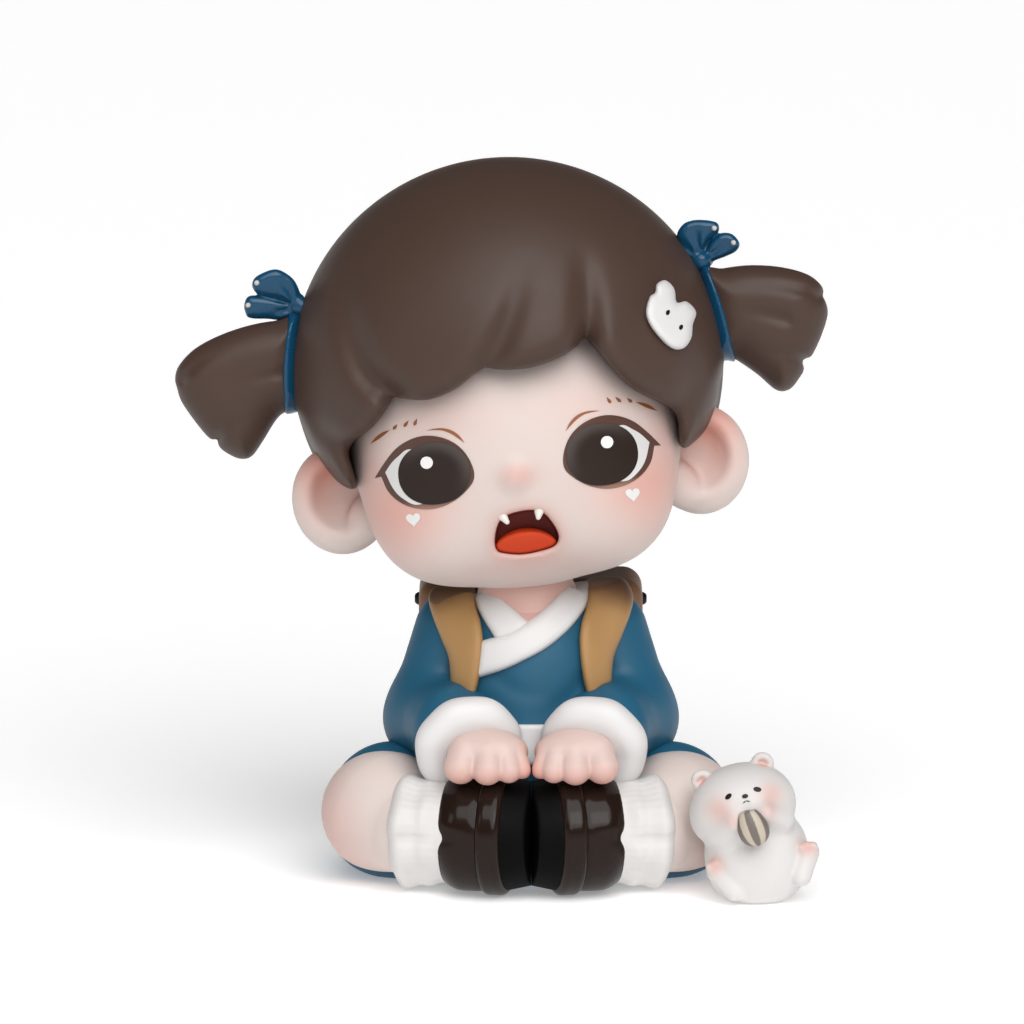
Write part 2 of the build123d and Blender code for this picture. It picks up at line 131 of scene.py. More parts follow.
def ball(p, centre, radius):
    return length(p - np.array(centre)) - radius


def ellipsoid(p, centre, radii, power=2.0):
    q = np.abs(p - np.array(centre)) / np.array(radii) + 1e-6
    k = (q**power).sum(-1) ** (1 / power)
    slope = length(q ** (power - 1) / np.array(radii)) * k ** (1 - power)
    return (k - 1) / slope


def rod(p, start, end, radius, end_radius=None):
    """A rod with round ends, or a cone of them."""
    start, end = np.array(start, float), np.array(end, float)
    line = end - start
    t = np.clip(((p - start) @ line) / (line @ line), 0, 1)
    return length(p - start - t[:, None] * line) - (radius + ((end_radius or radius) - radius) * t)


def round_box(p, low, high, rounding):
    low, high = np.array(low, float), np.array(high, float)
    q = np.abs(p - (low + high) / 2) - (high - low) / 2 + rounding
    return length(np.maximum(q, 0)) + np.minimum(q.max(-1), 0) - rounding


def join(a, b, soft):
    h = np.maximum(soft - np.abs(a - b), 0) / soft
    return np.minimum(a, b) - h * h * soft / 4


def common(a, b, soft):
    return -join(-a, -b, soft)


def without(a, b, soft):
    return -join(-a, b, soft)


def about_axis(p, origin, axis):
    """Distance along an axis, distance from it, and the angle about it."""
    axis = np.array(axis, float) / np.linalg.norm(axis)
    side = np.cross(axis, (0, 0, 1.0))
    side /= np.linalg.norm(side)
    up = np.cross(side, axis)
    q = p - np.array(origin)
    x, y = q @ side, q @ up
    return q @ axis, np.hypot(x, y), np.arctan2(y, x)


def round_slab(across, along, half, rounding):
    """A rounded edge between a side distance and a slab of a given half thickness."""
    a, b = across + rounding, np.abs(along) - half + rounding
    return np.hypot(np.maximum(a, 0), np.maximum(b, 0)) + np.minimum(np.maximum(a, b), 0) - rounding


def curve(points, closed=True, steps=6):
    """A smooth curve through the points. A point with a third value is a corner."""
    n = len(points)
    xy = np.array([p[:2] for p in points], float)
    corner = [len(p) > 2 for p in points]
    made = []
    for i in range(n if closed else n - 1):
        b, c = xy[i], xy[(i + 1) % n]
        a = 2 * b - c if corner[i] or (not closed and i == 0) else xy[i - 1]
        d = 2 * c - b if corner[(i + 1) % n] or (not closed and i == n - 2) else xy[(i + 2) % n]
        for t in np.arange(steps) / steps:
            made.append(
                0.5 * (
                    2 * b + (c - a) * t + (
                        2 * a - 5 * b + 4 * c - d
                    ) * t**2 + (3 * b - a - 3 * c + d) * t**3
                )
            )
    if not closed:
        made.append(xy[-1])
    return np.array(made)


def oval(centre, radii, turn=0.0, count=40, power=2.0):
    angle = np.arange(count) * 2 * pi / count
    x = radii[0] * np.sign(np.cos(angle)) * np.abs(np.cos(angle)) ** (2 / power)
    y = radii[1] * np.sign(np.sin(angle)) * np.abs(np.sin(angle)) ** (2 / power)
    c, s = cos(radians(turn)), sin(radians(turn))
    return np.stack([centre[0] + c * x - s * y, centre[1] + s * x + c * y], 1)


def outline_distance(x, y, outline):
    """Distance to a closed outline, negative inside."""
    best = np.full(x.shape, 1e9)
    inside = np.zeros(x.shape, bool)
    for (ax, ay), (bx, by) in zip(outline, np.roll(outline, -1, 0)):
        ex, ey = bx - ax, by - ay
        t = np.clip(((x - ax) * ex + (y - ay) * ey) / (ex * ex + ey * ey + 1e-12), 0, 1)
        best = np.minimum(best, (x - ax - t * ex) ** 2 + (y - ay - t * ey) ** 2)
        if ay != by:
            inside ^= ((ay > y) != (by > y)) & (x < ax + (y - ay) * ex / ey)
    return np.where(inside, -1, 1) * np.sqrt(best)


def groove(x, y, line, depth, width):
    """How deep a drawn groove is at each point. It fades out towards its last point."""
    line = curve(line, closed=False, steps=3)
    best = np.full(x.shape, 1e9)
    along = np.zeros(x.shape)
    for i, ((ax, ay), (bx, by)) in enumerate(zip(line[:-1], line[1:])):
        ex, ey = bx - ax, by - ay
        t = np.clip(((x - ax) * ex + (y - ay) * ey) / (ex * ex + ey * ey), 0, 1)
        d = (x - ax - t * ex) ** 2 + (y - ay - t * ey) ** 2
        along = np.where(d < best, (i + t) / (len(line) - 1), along)
        best = np.minimum(best, d)
    fade = 1 - along * along * (3 - 2 * along)
    return depth * fade * np.exp(-best / width**2)


def mirrored(p):
    q = p.copy()
    q[:, 0] = np.abs(q[:, 0])
    return q


def step_up(value, low, high):
    """A soft step from 0 at `low` to 1 at `high`."""
    t = np.clip((value - low) / (high - low), 0, 1)
    return t * t * (3 - 2 * t)


# ------------ meshes from fields
BLOCK = 8  # cells along one side of a block; blocks far from the surface aren't sampled
CELL_CORNERS = [(i, j, k) for i in (0, 1) for j in (0, 1) for k in (0, 1)]
CELL_EDGES = [
    (a, b) for a in range(8) for b in range(a + 1, 8) if sum(
        abs(np.subtract(CELL_CORNERS[a], CELL_CORNERS[b]))
    ) == 1
]


def sampled(field, low, high, step):
    """The field's values on a grid, exact only near the surface."""
    low = np.array(low, float)
    blocks = np.ceil((np.array(high, float) - low) / (step * BLOCK)).astype(int)
    side = BLOCK * step
    grid = np.stack(np.meshgrid(*(np.arange(n) for n in blocks), indexing="ij"), -1).reshape(-1, 3)
    coarse = field(low + (grid + 0.5) * side)
    values = coarse.reshape(blocks)
    for axis in range(3):
        values = np.repeat(values, BLOCK, axis)
    values = np.pad(values, [(0, 1)] * 3, mode="edge")
    near = grid[np.abs(coarse) < side * 1.3 + 1.2]
    cell = np.stack(np.meshgrid(*[np.arange(BLOCK + 1)] * 3, indexing="ij"), -1).reshape(-1, 3)
    for part in np.array_split(near, max(1, len(near) // 300)):
        nodes = (part[:, None] * BLOCK + cell[None]).reshape(-1, 3)
        values[tuple(nodes.T)] = field(low + nodes * step)
    for axis in range(3):
        edge = np.moveaxis(values, axis, 0)
        edge[0], edge[-1] = np.maximum(edge[0], 0.01), np.maximum(edge[-1], 0.01)
    return values


def surface(field, low, high, step):
    """Vertices and four-sided faces of the field's zero surface, settled onto it."""
    step = step * DETAIL
    values = sampled(field, low, high, step)
    inside = values < 0
    shape = np.array(values.shape) - 1
    views = [values[i : i + shape[0], j : j + shape[1], k : k + shape[2]] for i, j, k in CELL_CORNERS]
    count = sum((v < 0).astype(np.int8) for v in views)
    cells = np.argwhere((count > 0) & (count < 8))
    corner = np.stack([v[tuple(cells.T)] for v in views], 1)
    total, hits = np.zeros((len(cells), 3)), np.zeros(len(cells))
    for a, b in CELL_EDGES:
        va, vb = corner[:, a], corner[:, b]
        crosses = (va < 0) != (vb < 0)
        t = np.where(crosses, va / np.where(crosses, va - vb, 1), 0)
        point = np.array(CELL_CORNERS[a]) + t[:, None] * np.subtract(CELL_CORNERS[b], CELL_CORNERS[a])
        total += point * crosses[:, None]
        hits += crosses
    vertices = np.array(low, float) + (cells + total / hits[:, None]) * step
    number = np.full(shape, -1)
    number[tuple(cells.T)] = np.arange(len(cells))
    faces = []
    for axis in range(3):
        one, other = (axis + 1) % 3, (axis + 2) % 3
        here = np.moveaxis(inside, axis, 0)
        edges = np.argwhere(here[:-1] != here[1:])
        order = np.argsort([axis] + [a for a in range(3) if a != axis])
        edges = edges[:, order]
        edges = edges[(edges[:, one] > 0) & (edges[:, other] > 0)
                      & (edges[:, one] < shape[one]) & (edges[:, other] < shape[other])]
        quad = []
        for back_one, back_other in ((1, 1), (0, 1), (0, 0), (1, 0)):
            cell = edges.copy()
            cell[:, one] -= back_one
            cell[:, other] -= back_other
            quad.append(number[tuple(cell.T)])
        quad = np.stack(quad, 1)
        outward = inside[tuple(edges.T)]
        quad[~outward] = quad[~outward, ::-1]
        faces.append(quad)
    return settled(field, vertices, step), np.concatenate(faces)


def slope_of(field, points, reach=0.08):
    """The field at the points, and its slope there."""
    here = field(points)
    slope = np.stack([field(points + np.eye(3)[a] * reach) - here for a in range(3)], 1) / reach
    return here, slope


def settled(field, points, step):
    """The points moved onto the field's zero surface."""
    for _ in range(2):
        here, slope = slope_of(field, points)
        move = here / np.maximum((slope * slope).sum(1), 0.25)
        points = points - slope * np.clip(move, -step / 2, step / 2)[:, None]
    return points


def pressed(field, starts, look, rounds=45):
    """Where sight lines meet a surface, walked to in careful steps."""
    points = starts.copy()
    for _ in range(rounds):
        points += look * np.clip(field(points), -1, 6)[:, None] * 0.85
    return points


def piece(name, vertices, faces, finish, body, nodes, paint=None, sharp=None):
    """A Blender object from millimetre vertices in the row frame, riding on a body."""
    mesh = bpy.data.meshes.new(name)
    mesh.from_pydata((vertices * MM).tolist(), [], [list(map(int, f)) for f in faces])
    mesh.update()
    mesh.shade_smooth()
    if sharp:
        mesh.set_sharp_from_angle(angle=radians(sharp))
    for attribute, values in (paint or {}).items():
        mesh.attributes.new(attribute, "FLOAT", "POINT").data.foreach_set(
            "value", values.astype(np.float32)
        )
    mesh.materials.append(finish)
    made = bpy.data.objects.new(name, mesh)
    bpy.context.scene.collection.objects.link(made)
    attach(made, body)
    if nodes:
        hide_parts(*nodes)


def painted(vertices, paint):
    """Attribute values at the vertices. `paint` maps an attribute to a function of the points."""
    return {attribute: rule(vertices) for attribute, rule in (paint or {}).items()}


def opposite(vertices, faces, middle=0.0):
    """A mesh mirrored to the figure's other side."""
    return vertices * np.array((-1, 1, 1)) + np.array((2 * middle, 0, 0)), faces[:, ::-1]


def mould(node, field, low, high, step, finish, body, part=BODY, paint=None, flip=False, name=None):
    """One moulded part in place of a CAD node. One drawn for the left is flipped to be on the right."""
    vertices, faces = surface(field, low, high, step)
    values = painted(vertices, paint)
    if flip:
        vertices, faces = opposite(vertices, faces)
    piece(
        name or f"{node}_vinyl", part.to_row(vertices), faces, finish, body, [node] if node else (),
        values
    )


def mould_pair(node, field, low, high, step, finish, body, part=BODY, paint=None):
    """The same part on the figure's left and right, drawn for the left."""
    vertices, faces = surface(field, low, high, step)
    values = painted(vertices, paint)
    for side, sign in SIDES:
        if sign < 0:
            vertices, faces = opposite(vertices, faces, part.middle)
        piece(
            f"{node}_{side}_vinyl", part.to_row(vertices), faces, finish, body, [f"{node}_{side}"],
            values
        )


def mould_sides(node, field, low, high, step, finish, body, paint=None):
    """A part whose two sides differ: `field` makes the field of one side, drawn as for the left."""
    for side, sign in SIDES:
        mould(f"{node}_{side}", field(sign), low, high, step, finish, body, BODY, paint, sign < 0)


def printed(name, outline, field, finish, body, part, lift, nodes=(), spacing=0.4, shade=None):
    """A thin painted patch on a surface, cut to an outline of the drawing plane."""
    outline = np.array(outline)
    low, high = outline.min(0), outline.max(0)
    grid = np.stack(
        np.meshgrid(np.arange(low[0], high[0], spacing), np.arange(low[1], high[1], spacing)), -1
    )
    grid = grid.reshape(-1, 2)
    grid = grid[outline_distance(grid[:, 0], grid[:, 1], outline) < -spacing * 0.5]
    flat = [Vector(p) for p in np.concatenate([outline, grid]).tolist()]
    rim = [(i, (i + 1) % len(outline)) for i in range(len(outline))]
    flat, _, triangles, _, _, _ = delaunay_2d_cdt(flat, rim, [], 1, 1e-6)
    flat = np.array([tuple(v) for v in flat])
    starts, look = part.sight(flat)
    surface_points = pressed(field, starts, look)
    _, normal = slope_of(field, surface_points)
    normal /= length(normal)[:, None]
    n = len(flat)
    vertices = np.concatenate([surface_points + normal * lift, surface_points - normal * 0.2])
    faces = []
    sides = {}  # every directed side of a triangle; one without its opposite is on the rim
    for tri in triangles:
        a, b, c = (flat[i] for i in tri)
        if (b[0] - a[0]) * (c[1] - a[1]) - (b[1] - a[1]) * (c[0] - a[0]) < 0:
            tri = tri[::-1]
        faces.append(tuple(tri))
        faces.append(tuple(i + n for i in reversed(tri)))
        for i in range(3):
            sides[(tri[i], tri[(i + 1) % 3])] = True
    for a, b in sides:
        if (b, a) not in sides:
            faces.append((a, a + n, b + n, b))
    values = {"shade": np.tile(shade(flat), 2)} if shade else None
    piece(name, part.to_row(vertices), faces, finish, body, nodes, values, sharp=50)


# ------------ finishes
def linear(rgb):
    """Screen values of 0 to 255 as the numbers that a colour socket takes."""
    return [((c / 255) / 12.92 if c <= 10 else ((c / 255 + 0.055) / 1.055) ** 2.4) for c in rgb] + [1.0]


def finish(name, rgb, roughness, drift=0.05, grain=0.25, tints=(), coat=0.0, skin=0.0, specular=0.5):
    """Moulded or painted vinyl: a slow drift of tone, mottled gloss and a fine orange-peel bump.

    `tints` are (attribute, colour) pairs that are mixed over the colour where the attribute is set.
    """
    made = bpy.data.materials.new(name)
    made.use_nodes = True
    nodes, links = made.node_tree.nodes, made.node_tree.links
    shader = nodes["Principled BSDF"]
    place = nodes.new("ShaderNodeTexCoord")

    def noise(scale, detail):
        made_noise = nodes.new("ShaderNodeTexNoise")
        made_noise.inputs["Scale"].default_value = scale
        made_noise.inputs["Detail"].default_value = detail
        links.new(place.outputs["Object"], made_noise.inputs["Vector"])
        return made_noise.outputs["Fac"]

    def mixed(factor, low, high):
        mix = nodes.new("ShaderNodeMix")
        mix.data_type = "RGBA"
        links.new(factor, mix.inputs["Factor"])
        for socket, value in ((mix.inputs["A"], low), (mix.inputs["B"], high)):
            if isinstance(value, list):
                socket.default_value = value
            else:
                links.new(value, socket)
        return mix.outputs["Result"]

    base = linear(rgb)
    dark = [c * (1 - drift) for c in base[:3]] + [1.0]
    light = [min(1.0, c * (1 + drift)) for c in base[:3]] + [1.0]
    colour = mixed(noise(70, 3), dark, light)
    for attribute, tint in tints:
        value = nodes.new("ShaderNodeAttribute")
        value.attribute_name = attribute
        colour = mixed(value.outputs["Fac"], colour, linear(tint))
    links.new(colour, shader.inputs["Base Color"])

    gloss = nodes.new("ShaderNodeMapRange")
    gloss.inputs["To Min"].default_value = roughness * 0.85
    gloss.inputs["To Max"].default_value = min(1.0, roughness * 1.15)
    links.new(noise(260, 4), gloss.inputs["Value"])
    links.new(gloss.outputs["Result"], shader.inputs["Roughness"])

    bump = nodes.new("ShaderNodeBump")
    bump.inputs["Strength"].default_value = grain
    bump.inputs["Distance"].default_value = 0.00004
    links.new(noise(1500, 2), bump.inputs["Height"])
    links.new(bump.outputs["Normal"], shader.inputs["Normal"])
    shader.inputs["Specular IOR Level"].default_value = specular
    shader.inputs["Coat Weight"].default_value = coat
    shader.inputs["Coat Roughness"].default_value = 0.08
    if skin:
        shader.inputs["Subsurface Weight"].default_value = skin
        shader.inputs["Subsurface Radius"].default_value = (1.0, 0.35, 0.2)
        shader.inputs["Subsurface Scale"].default_value = 0.0015
    return made


SKIN = (206, 192, 186)
# the blush colour; the face also uses it as painted shade at the lower outer jaw
BLUSH_AND_SHADE = (206, 132, 114)
skin = finish("skin_vinyl", SKIN, 0.5, drift=0.02, skin=0.12, tints=[("warm", BLUSH_AND_SHADE)])
hair_brown = finish("hair_vinyl", (70, 53, 45), 0.46, drift=0.06, specular=0.25)
ribbon_blue = finish("ribbon_gloss", (10, 66, 96), 0.28, drift=0.06, coat=0.15, grain=0.04, specular=0.3)
ribbon_end = finish("ribbon_end_pale", (190, 190, 188), 0.4)
robe_blue = finish("robe_vinyl", (27, 86, 114), 0.5, drift=0.06, specular=0.35)
white = finish("white_vinyl", (214, 212, 211), 0.5, drift=0.02)
sock_white = finish("sock_vinyl", (207, 204, 202), 0.6, drift=0.03, grain=0.5)
# its dark tint is painted shade on the straps' tops, under the head
strap_tan = finish(
    "strap_vinyl", (168, 128, 78), 0.55, drift=0.08, grain=0.5, tints=[("dark", (84, 52, 36))]
)
bag_brown = finish("bag_vinyl", (124, 86, 58), 0.55, drift=0.10, grain=0.6, tints=[("dark", (58, 36, 27))])
shoe_gloss = finish("shoe_gloss", (32, 21, 16), 0.2, drift=0.08, coat=0.2, grain=0.04, specular=0.08)
sole_dark = finish("sole_vinyl", (4, 3, 3), 0.6, drift=0.1, specular=0.08)
stud_dark = finish("stud_paint", (26, 18, 15), 0.35, drift=0.1, coat=0.1, specular=0.15)
liner_paint = finish("eye_liner_paint", (78, 48, 36), 0.42, drift=0.08, tints=[("shade", (150, 112, 96))])
sclera_paint = finish("eye_white_paint", (206, 204, 202), 0.35, drift=0.02)
iris_paint = finish(
    "iris_paint", (40, 29, 24), 0.35, drift=0.06, specular=0.2, tints=[("shade", (92, 84, 80))]
)
glint_paint = finish("eye_glint_paint", (226, 225, 223), 0.3, drift=0.01)
brow_paint = finish("brow_paint", (140, 80, 42), 0.5, drift=0.06)
heart_paint = finish("cheek_mark_paint", (216, 214, 212), 0.4, drift=0.01)
mouth_red = finish("mouth_paint", (112, 36, 26), 0.45, drift=0.08, specular=0.2)
tongue_red = finish("tongue_paint", (198, 62, 24), 0.45, drift=0.06, specular=0.25)
tooth_white = finish("tooth_paint", (214, 210, 204), 0.3, drift=0.02, coat=0.3)
hamster_white = finish(
    "hamster_vinyl", (208, 205, 203), 0.55, drift=0.02, skin=0.05, tints=[("warm", (206, 146, 130))]
)
seed_shell = finish("seed_vinyl", (184, 173, 156), 0.45, drift=0.06, tints=[("stripe", (108, 98, 92))])

# ------------ head: face
MIDLINE = -0.5  # the face's features are placed about this line
MOUTH = curve([
    (-5.6, -18.3), (-5.7, -16.4), (-4.7, -13.8), (-2.9, -12.7), (0.2, -12.35), (2.6, -13.0), (4.2, -15.2),
    (4.8, -17.3), (3.9, -18.7), (1.4, -19.3), (-1.6, -19.5), (-4.3, -19.0)
])
MOUTH_BACK_Y = -18.6


def skull(p):
    field = ellipsoid(p, (HEAD.middle, 0, 0), (27.5, 26.5, 25.0), 2.12)
    cheeks = ball(mirrored(p - np.array((HEAD.middle, 0, 0))), (13.8, -11.9, -10.2), 9.8)
    field = join(field, cheeks, 7)
    return join(field, ball(p, (-0.7, -25.4, -2.1), 2.1), 2.4)  # nose


def mouth_side(p):
    return outline_distance(*HEAD.drawn(p), MOUTH)


def face(p):
    return without(skull(p), np.maximum(mouth_side(p), p[:, 1] - MOUTH_BACK_Y), 1.0)


def face_blush_and_shade(p):
    x, v = HEAD.drawn(p)
    front = step_up(-p[:, 1], 4, 14)
    warmth = np.zeros(len(p))
    # the spot at (21.0, -16.0), on the lower outer jaw, is painted shade where the cheek turns down; the
    # other spots are blush
    for u, w, wide, high, strength in (
        (19.6, -9.8, 8.0, 5.6, 0.54), (12.0, 4.0, 10.0, 4.6, 0.16), (0.0, -21.5, 11.0, 2.4, 0.22),
        (24.5, -3.0, 3.6, 7.0, 0.25), (21.0, -16.0, 6.0, 5.0, 0.2)
    ):
        spot = ((np.abs(x - MIDLINE) - u) / wide) ** 2 + ((v - w) / high) ** 2
        warmth += strength * np.exp(-spot)
    nose = ((x + 0.5) / 3.0) ** 2 + ((v + 6.6) / 1.9) ** 2
    warmth += 0.45 * np.exp(-nose)
    lip = 0.3 * np.exp(-((mouth_side(p) / 1.6) ** 2))
    return np.clip((warmth + lip) * front, 0, 1)


mould(
    "head_shell", face, (-31, -31, -28), (31, 29, 27), 0.5, skin, "head", HEAD,
    {"warm": face_blush_and_shade}, name="face_vinyl"
)


def mouth_lining(p):
    side = mouth_side(p)
    outer = np.maximum(np.maximum(side - 0.6, p[:, 1] - MOUTH_BACK_Y - 0.8), skull(p) + 0.9)
    return without(outer, np.maximum(side + 0.15, p[:, 1] - MOUTH_BACK_Y + 0.3), 0.4)


def tongue(p):
    field = ellipsoid(p, (-0.5, -20.6, -16.3), (5.7, 3.6, 4.4))
    x, v = HEAD.drawn(p)
    field += groove(x, v, [(-0.4, -19.5), (-0.4, -17.5), (-0.4, -15.5)], 0.35, 0.9)
    return common(common(field, mouth_side(p) + 0.1, 0.5), skull(p) + 0.9, 0.5)


mould(
    "mouth_liner", mouth_lining, (-8, -28, -22), (7, -15, -5), 0.3, mouth_red, "head", HEAD,
    name="mouth_lining_vinyl"
)
mould("tongue", tongue, (-8, -28, -22), (7, -15, -8), 0.3, tongue_red, "head", HEAD)
FANGS = {
    "right": ((-3.5, -24.3, -8.9), (-2.9, -24.9, -9.8)),
    "left": ((2.45, -24.4, -8.8), (2.25, -25.0, -9.6))
}
for side, (root, tip) in FANGS.items():
    mould(
        f"fang_{side}", lambda p, a=root, b=tip: rod(p, a, b, 0.8, 0.42), (-6, -27, -12), (5, -22, -7),
        0.2, tooth_white, "head", HEAD
    )

# ------------ head: printed eyes, lids, brows and cheek marks
EYE = [
    (23.6, -4.3, 1), (21.7, -2.0), (19.5, 0.1), (16.9, 1.3), (14.2, 1.55), (11.3, 0.7), (9.0, -1.1),
    (7.6, -3.7), (7.4, -6.2), (8.8, -8.0), (11.2, -9.6), (14.1, -10.4), (17.2, -10.1), (19.8, -8.8),
    (21.6, -6.8), (22.5, -4.2, 1)
]
EYE_WHITE = [
    (21.7, -3.6, 1), (20.5, -2.2), (19.2, -1.2), (17.4, -0.3), (14.5, -1.5), (13.5, -5.0), (14.8, -8.6),
    (17.2, -9.45), (19.3, -8.2), (20.7, -6.4)
]
LID = [
    (8.3, -0.3, 1), (9.1, 1.0), (10.2, 1.95), (11.5, 2.45), (12.8, 2.55), (14.2, 2.4, 1), (12.7, 2.3),
    (11.5, 2.05), (10.3, 1.4), (9.3, 0.6)
]
BROW = [(23.7, 1.4, 1), (22.6, 2.4), (21.4, 3.0), (20.3, 3.2, 1), (21.3, 2.5), (22.4, 1.9)]
LASHES = [((19.7, 3.2), (18.9, 4.0)), ((17.9, 3.4), (17.0, 4.4)), ((16.2, 3.4), (15.6, 4.5))]
IRIS_CENTRE, IRIS_RADII = (13.75, -4.7), (5.85, 5.05)
GLINT_CENTRE, GLINT_RADIUS = (14.7, -2.8), 1.0
HEART_CENTRE, HEART_SIZE = (18.05, -11.75), 1.15


def heart(centre, size):
    angle = np.arange(48) * 2 * pi / 48
    x = np.sin(angle) ** 3
    y = (13 * np.cos(angle) - 5 * np.cos(2 * angle) - 2 * np.cos(3 * angle) - np.cos(4 * angle)) / 15
    return np.stack([centre[0] + size * x, centre[1] + size * y], 1)


def dash(start, end, half_width):
    """A short stroke that is wide at its start and pointed at its end."""
    start, end = np.array(start), np.array(end)
    side = np.array((start[1] - end[1], end[0] - start[0]))
    side = side / np.linalg.norm(side) * half_width
    bulge = start + (end - start) * 0.35
    return curve([(*start, 1), (*(bulge + side),), (*end, 1), (*(bulge - side),)])


def to_side(outline, sign):
    """An outline drawn for the left of the face's midline, on the wanted side."""
    moved = np.array(outline)[:, :2] * np.array((sign, 1)) + np.array((MIDLINE, 0))
    return moved if sign > 0 else moved[::-1]


def iris_shade(sign):
    def rule(flat):
        u = (flat[:, 0] - MIDLINE) * sign
        across = (u - IRIS_CENTRE[0]) / IRIS_RADII[0]
        up = (flat[:, 1] - IRIS_CENTRE[1]) / IRIS_RADII[1]
        ring = step_up(np.hypot(across, up), 0.55, 1.0)
        return np.clip(0.55 * ring * step_up(up - 0.7 * across, -0.4, 1.1), 0, 1)
    return rule


for side, sign in SIDES:
    for name, outline, paint, lift, shade in (
        ("eye", curve(EYE), liner_paint, 0.10, lambda f: 0.8 * step_up(-f[:, 1], 8.6, 10.4)),
        ("eye_white", curve(EYE_WHITE), sclera_paint, 0.17, None),
        ("iris", oval(IRIS_CENTRE, IRIS_RADII, power=2.15, count=64), iris_paint, 0.24, iris_shade(sign)),
        ("eye_glint", oval(GLINT_CENTRE, (GLINT_RADIUS, GLINT_RADIUS)), glint_paint, 0.32, None),
        ("lid_crease", curve(LID), brow_paint, 0.08, None), ("brow", curve(BROW), brow_paint, 0.08, None),
        ("cheek_heart", heart(HEART_CENTRE, HEART_SIZE), heart_paint, 0.12, None),
    ):
        nodes = [f"eye_{side}"] if name == "eye" else ()
        printed(
            f"{name}_{side}_print", to_side(outline, sign), skull, paint, "head", HEAD, lift,
            nodes, shade=shade
        )
    for number, (start, end) in enumerate(LASHES, 1):
        printed(
            f"brow_dash_{number}_{side}_print", to_side(dash(start, end, 0.26), sign), skull, brow_paint,
            "head", HEAD, 0.08
        )

# ------------ head: ears
EAR_CENTRE = (29.6, 0.4, -7.3)


def ear(p):
    field = ellipsoid(p, EAR_CENTRE, (8.2, 3.9, 9.3))
    field = without(field, ellipsoid(p, (29.6, -4.6, -6.2), (5.7, 5.0, 6.6)), 1.6)
    return join(field, ellipsoid(p, (25.6, -1.6, -10.5), (3.0, 1.8, 3.6)), 2.0)


def ear_warmth(p):
    bowl = np.exp(-(((p[:, 0] - 30.4) / 5.2) ** 2 + ((p[:, 2] + 4.4) / 5.4) ** 2))
    rim = 0.45 * step_up(p[:, 2], -6, 2)
    return np.clip((0.85 * bowl + rim) * step_up(-p[:, 1], -2.0, 1.0), 0, 1)


mould_pair("ear", ear, (20, -6, -19), (40, 6, 4), 0.35, skin, "head", HEAD, {"warm": ear_warmth})

# ------------ head: hair
HAIR_CENTRE, HAIR_RADII = (-0.4, 2.5, 10.7), (36.1, 32.5, 35.6)
HAIR_FRONT_Y = 3.5  # in front of here the hair is cut to the hairline
SEAM_Y = 10.5
NAPE_CENTRE, NAPE_RADIUS = (0, 12, -11), 14.2
HAIRLINE = [
    (-27.9, -4.7), (-28.6, 0.4), (-27.0, 2.7), (-23.6, 4.7), (-21.3, 7.2), (-19.8, 9.2, 1), (-17.0, 8.3),
    (-13.6, 7.9), (-9.5, 9.1), (-6.2, 11.1), (-4.2, 12.1, 1), (-1.0, 11.3), (3.6, 11.2), (8.8, 12.6),
    (11.6, 14.4), (13.0, 15.7, 1), (15.0, 12.5), (18.0, 7.9), (21.0, 5.0), (25.3, 2.4), (26.9, 0.0),
    (27.0, -4.3)
]
LOBE_LEFT = [(28.7, -3.9), (31.4, -1.8), (33.8, 2.2), (36.0, 7.0), (44.0, 12.0, 1)]
LOBE_RIGHT = [(-44.0, 12.0, 1), (-36.8, 7.6), (-34.3, 2.2), (-31.4, -2.6), (-29.4, -4.6)]
HAIR_OPENING = curve(
    HAIRLINE + LOBE_LEFT + [(FAR, 12, 1), (FAR, -FAR, 1), (-FAR, -FAR, 1), (-FAR, 12, 1)] + LOBE_RIGHT,
    steps=4
)
HAIR_CREASES = [
    ([(-19.8, 9.1), (-23.0, 12.5), (-24.8, 18.5), (-25.0, 25.0), (-22.7, 33.0)], 2.4, 2.4),
    ([(-3.6, 11.8), (-1.2, 15.2), (1.6, 20.5), (3.6, 26.0), (4.7, 31.0)], 2.0, 2.2),
    ([(13.2, 15.3), (13.7, 20.0), (13.9, 26.0), (14.1, 32.0)], 2.2, 2.2),
    ([(-28.7, 1.4), (-31.7, 4.5), (-33.6, 8.0), (-34.4, 12.0)], 0.9, 1.8),
    ([(27.0, 1.4), (29.5, 5.5), (31.0, 10.0), (31.2, 15.0)], 0.7, 2.0),
]


def hair(p):
    x, v = HEAD.drawn(p)
    field = ellipsoid(p, HAIR_CENTRE, HAIR_RADII)
    front = step_up(-p[:, 1], -6, 4)
    for line, depth, width in HAIR_CREASES:
        field = field + front * groove(x, v, line, depth, width)
    opening = common(outline_distance(x, v, HAIR_OPENING) + 0.5, p[:, 1] - HAIR_FRONT_Y, 3.0)
    field = without(field, opening, 3.4)
    field = join(field, ball(p, NAPE_CENTRE, NAPE_RADIUS), 6)
    parting = np.abs(p[:, 0] + 1.5 * np.sin(p[:, 2] / 9.0))
    back = step_up(p[:, 1], 10, 22) * step_up(26 - np.abs(p[:, 2] - 6), 0, 16)
    field = field + 0.9 * back * np.exp(-((parting / 1.6) ** 2))
    for side in (-1, 1):
        strand = np.abs(p[:, 0] - side * (15.0 + 0.22 * p[:, 2]))
        field = field + 0.5 * back * np.exp(-((strand / 2.0) ** 2))
    return without(field, rod(p, (0, 0, -FAR), (0, 0, -20), 9.5), 1.5)


def hair_half(past_seam):
    """The hair as a shell on the skull, on one side of the seam."""
    return lambda p: common(without(hair(p), skull(p) + 0.6, 0.3), past_seam(p[:, 1]), 1.1)


mould(
    "hair_front", hair_half(lambda y: y - SEAM_Y), (-38, -33, -30), (38, 12, 49), 0.62, hair_brown,
    "head", HEAD
)
mould(
    "hair_back", hair_half(lambda y: SEAM_Y - y), (-38, 9, -30), (38, 37, 49), 0.62, hair_brown, "head",
    HEAD
)

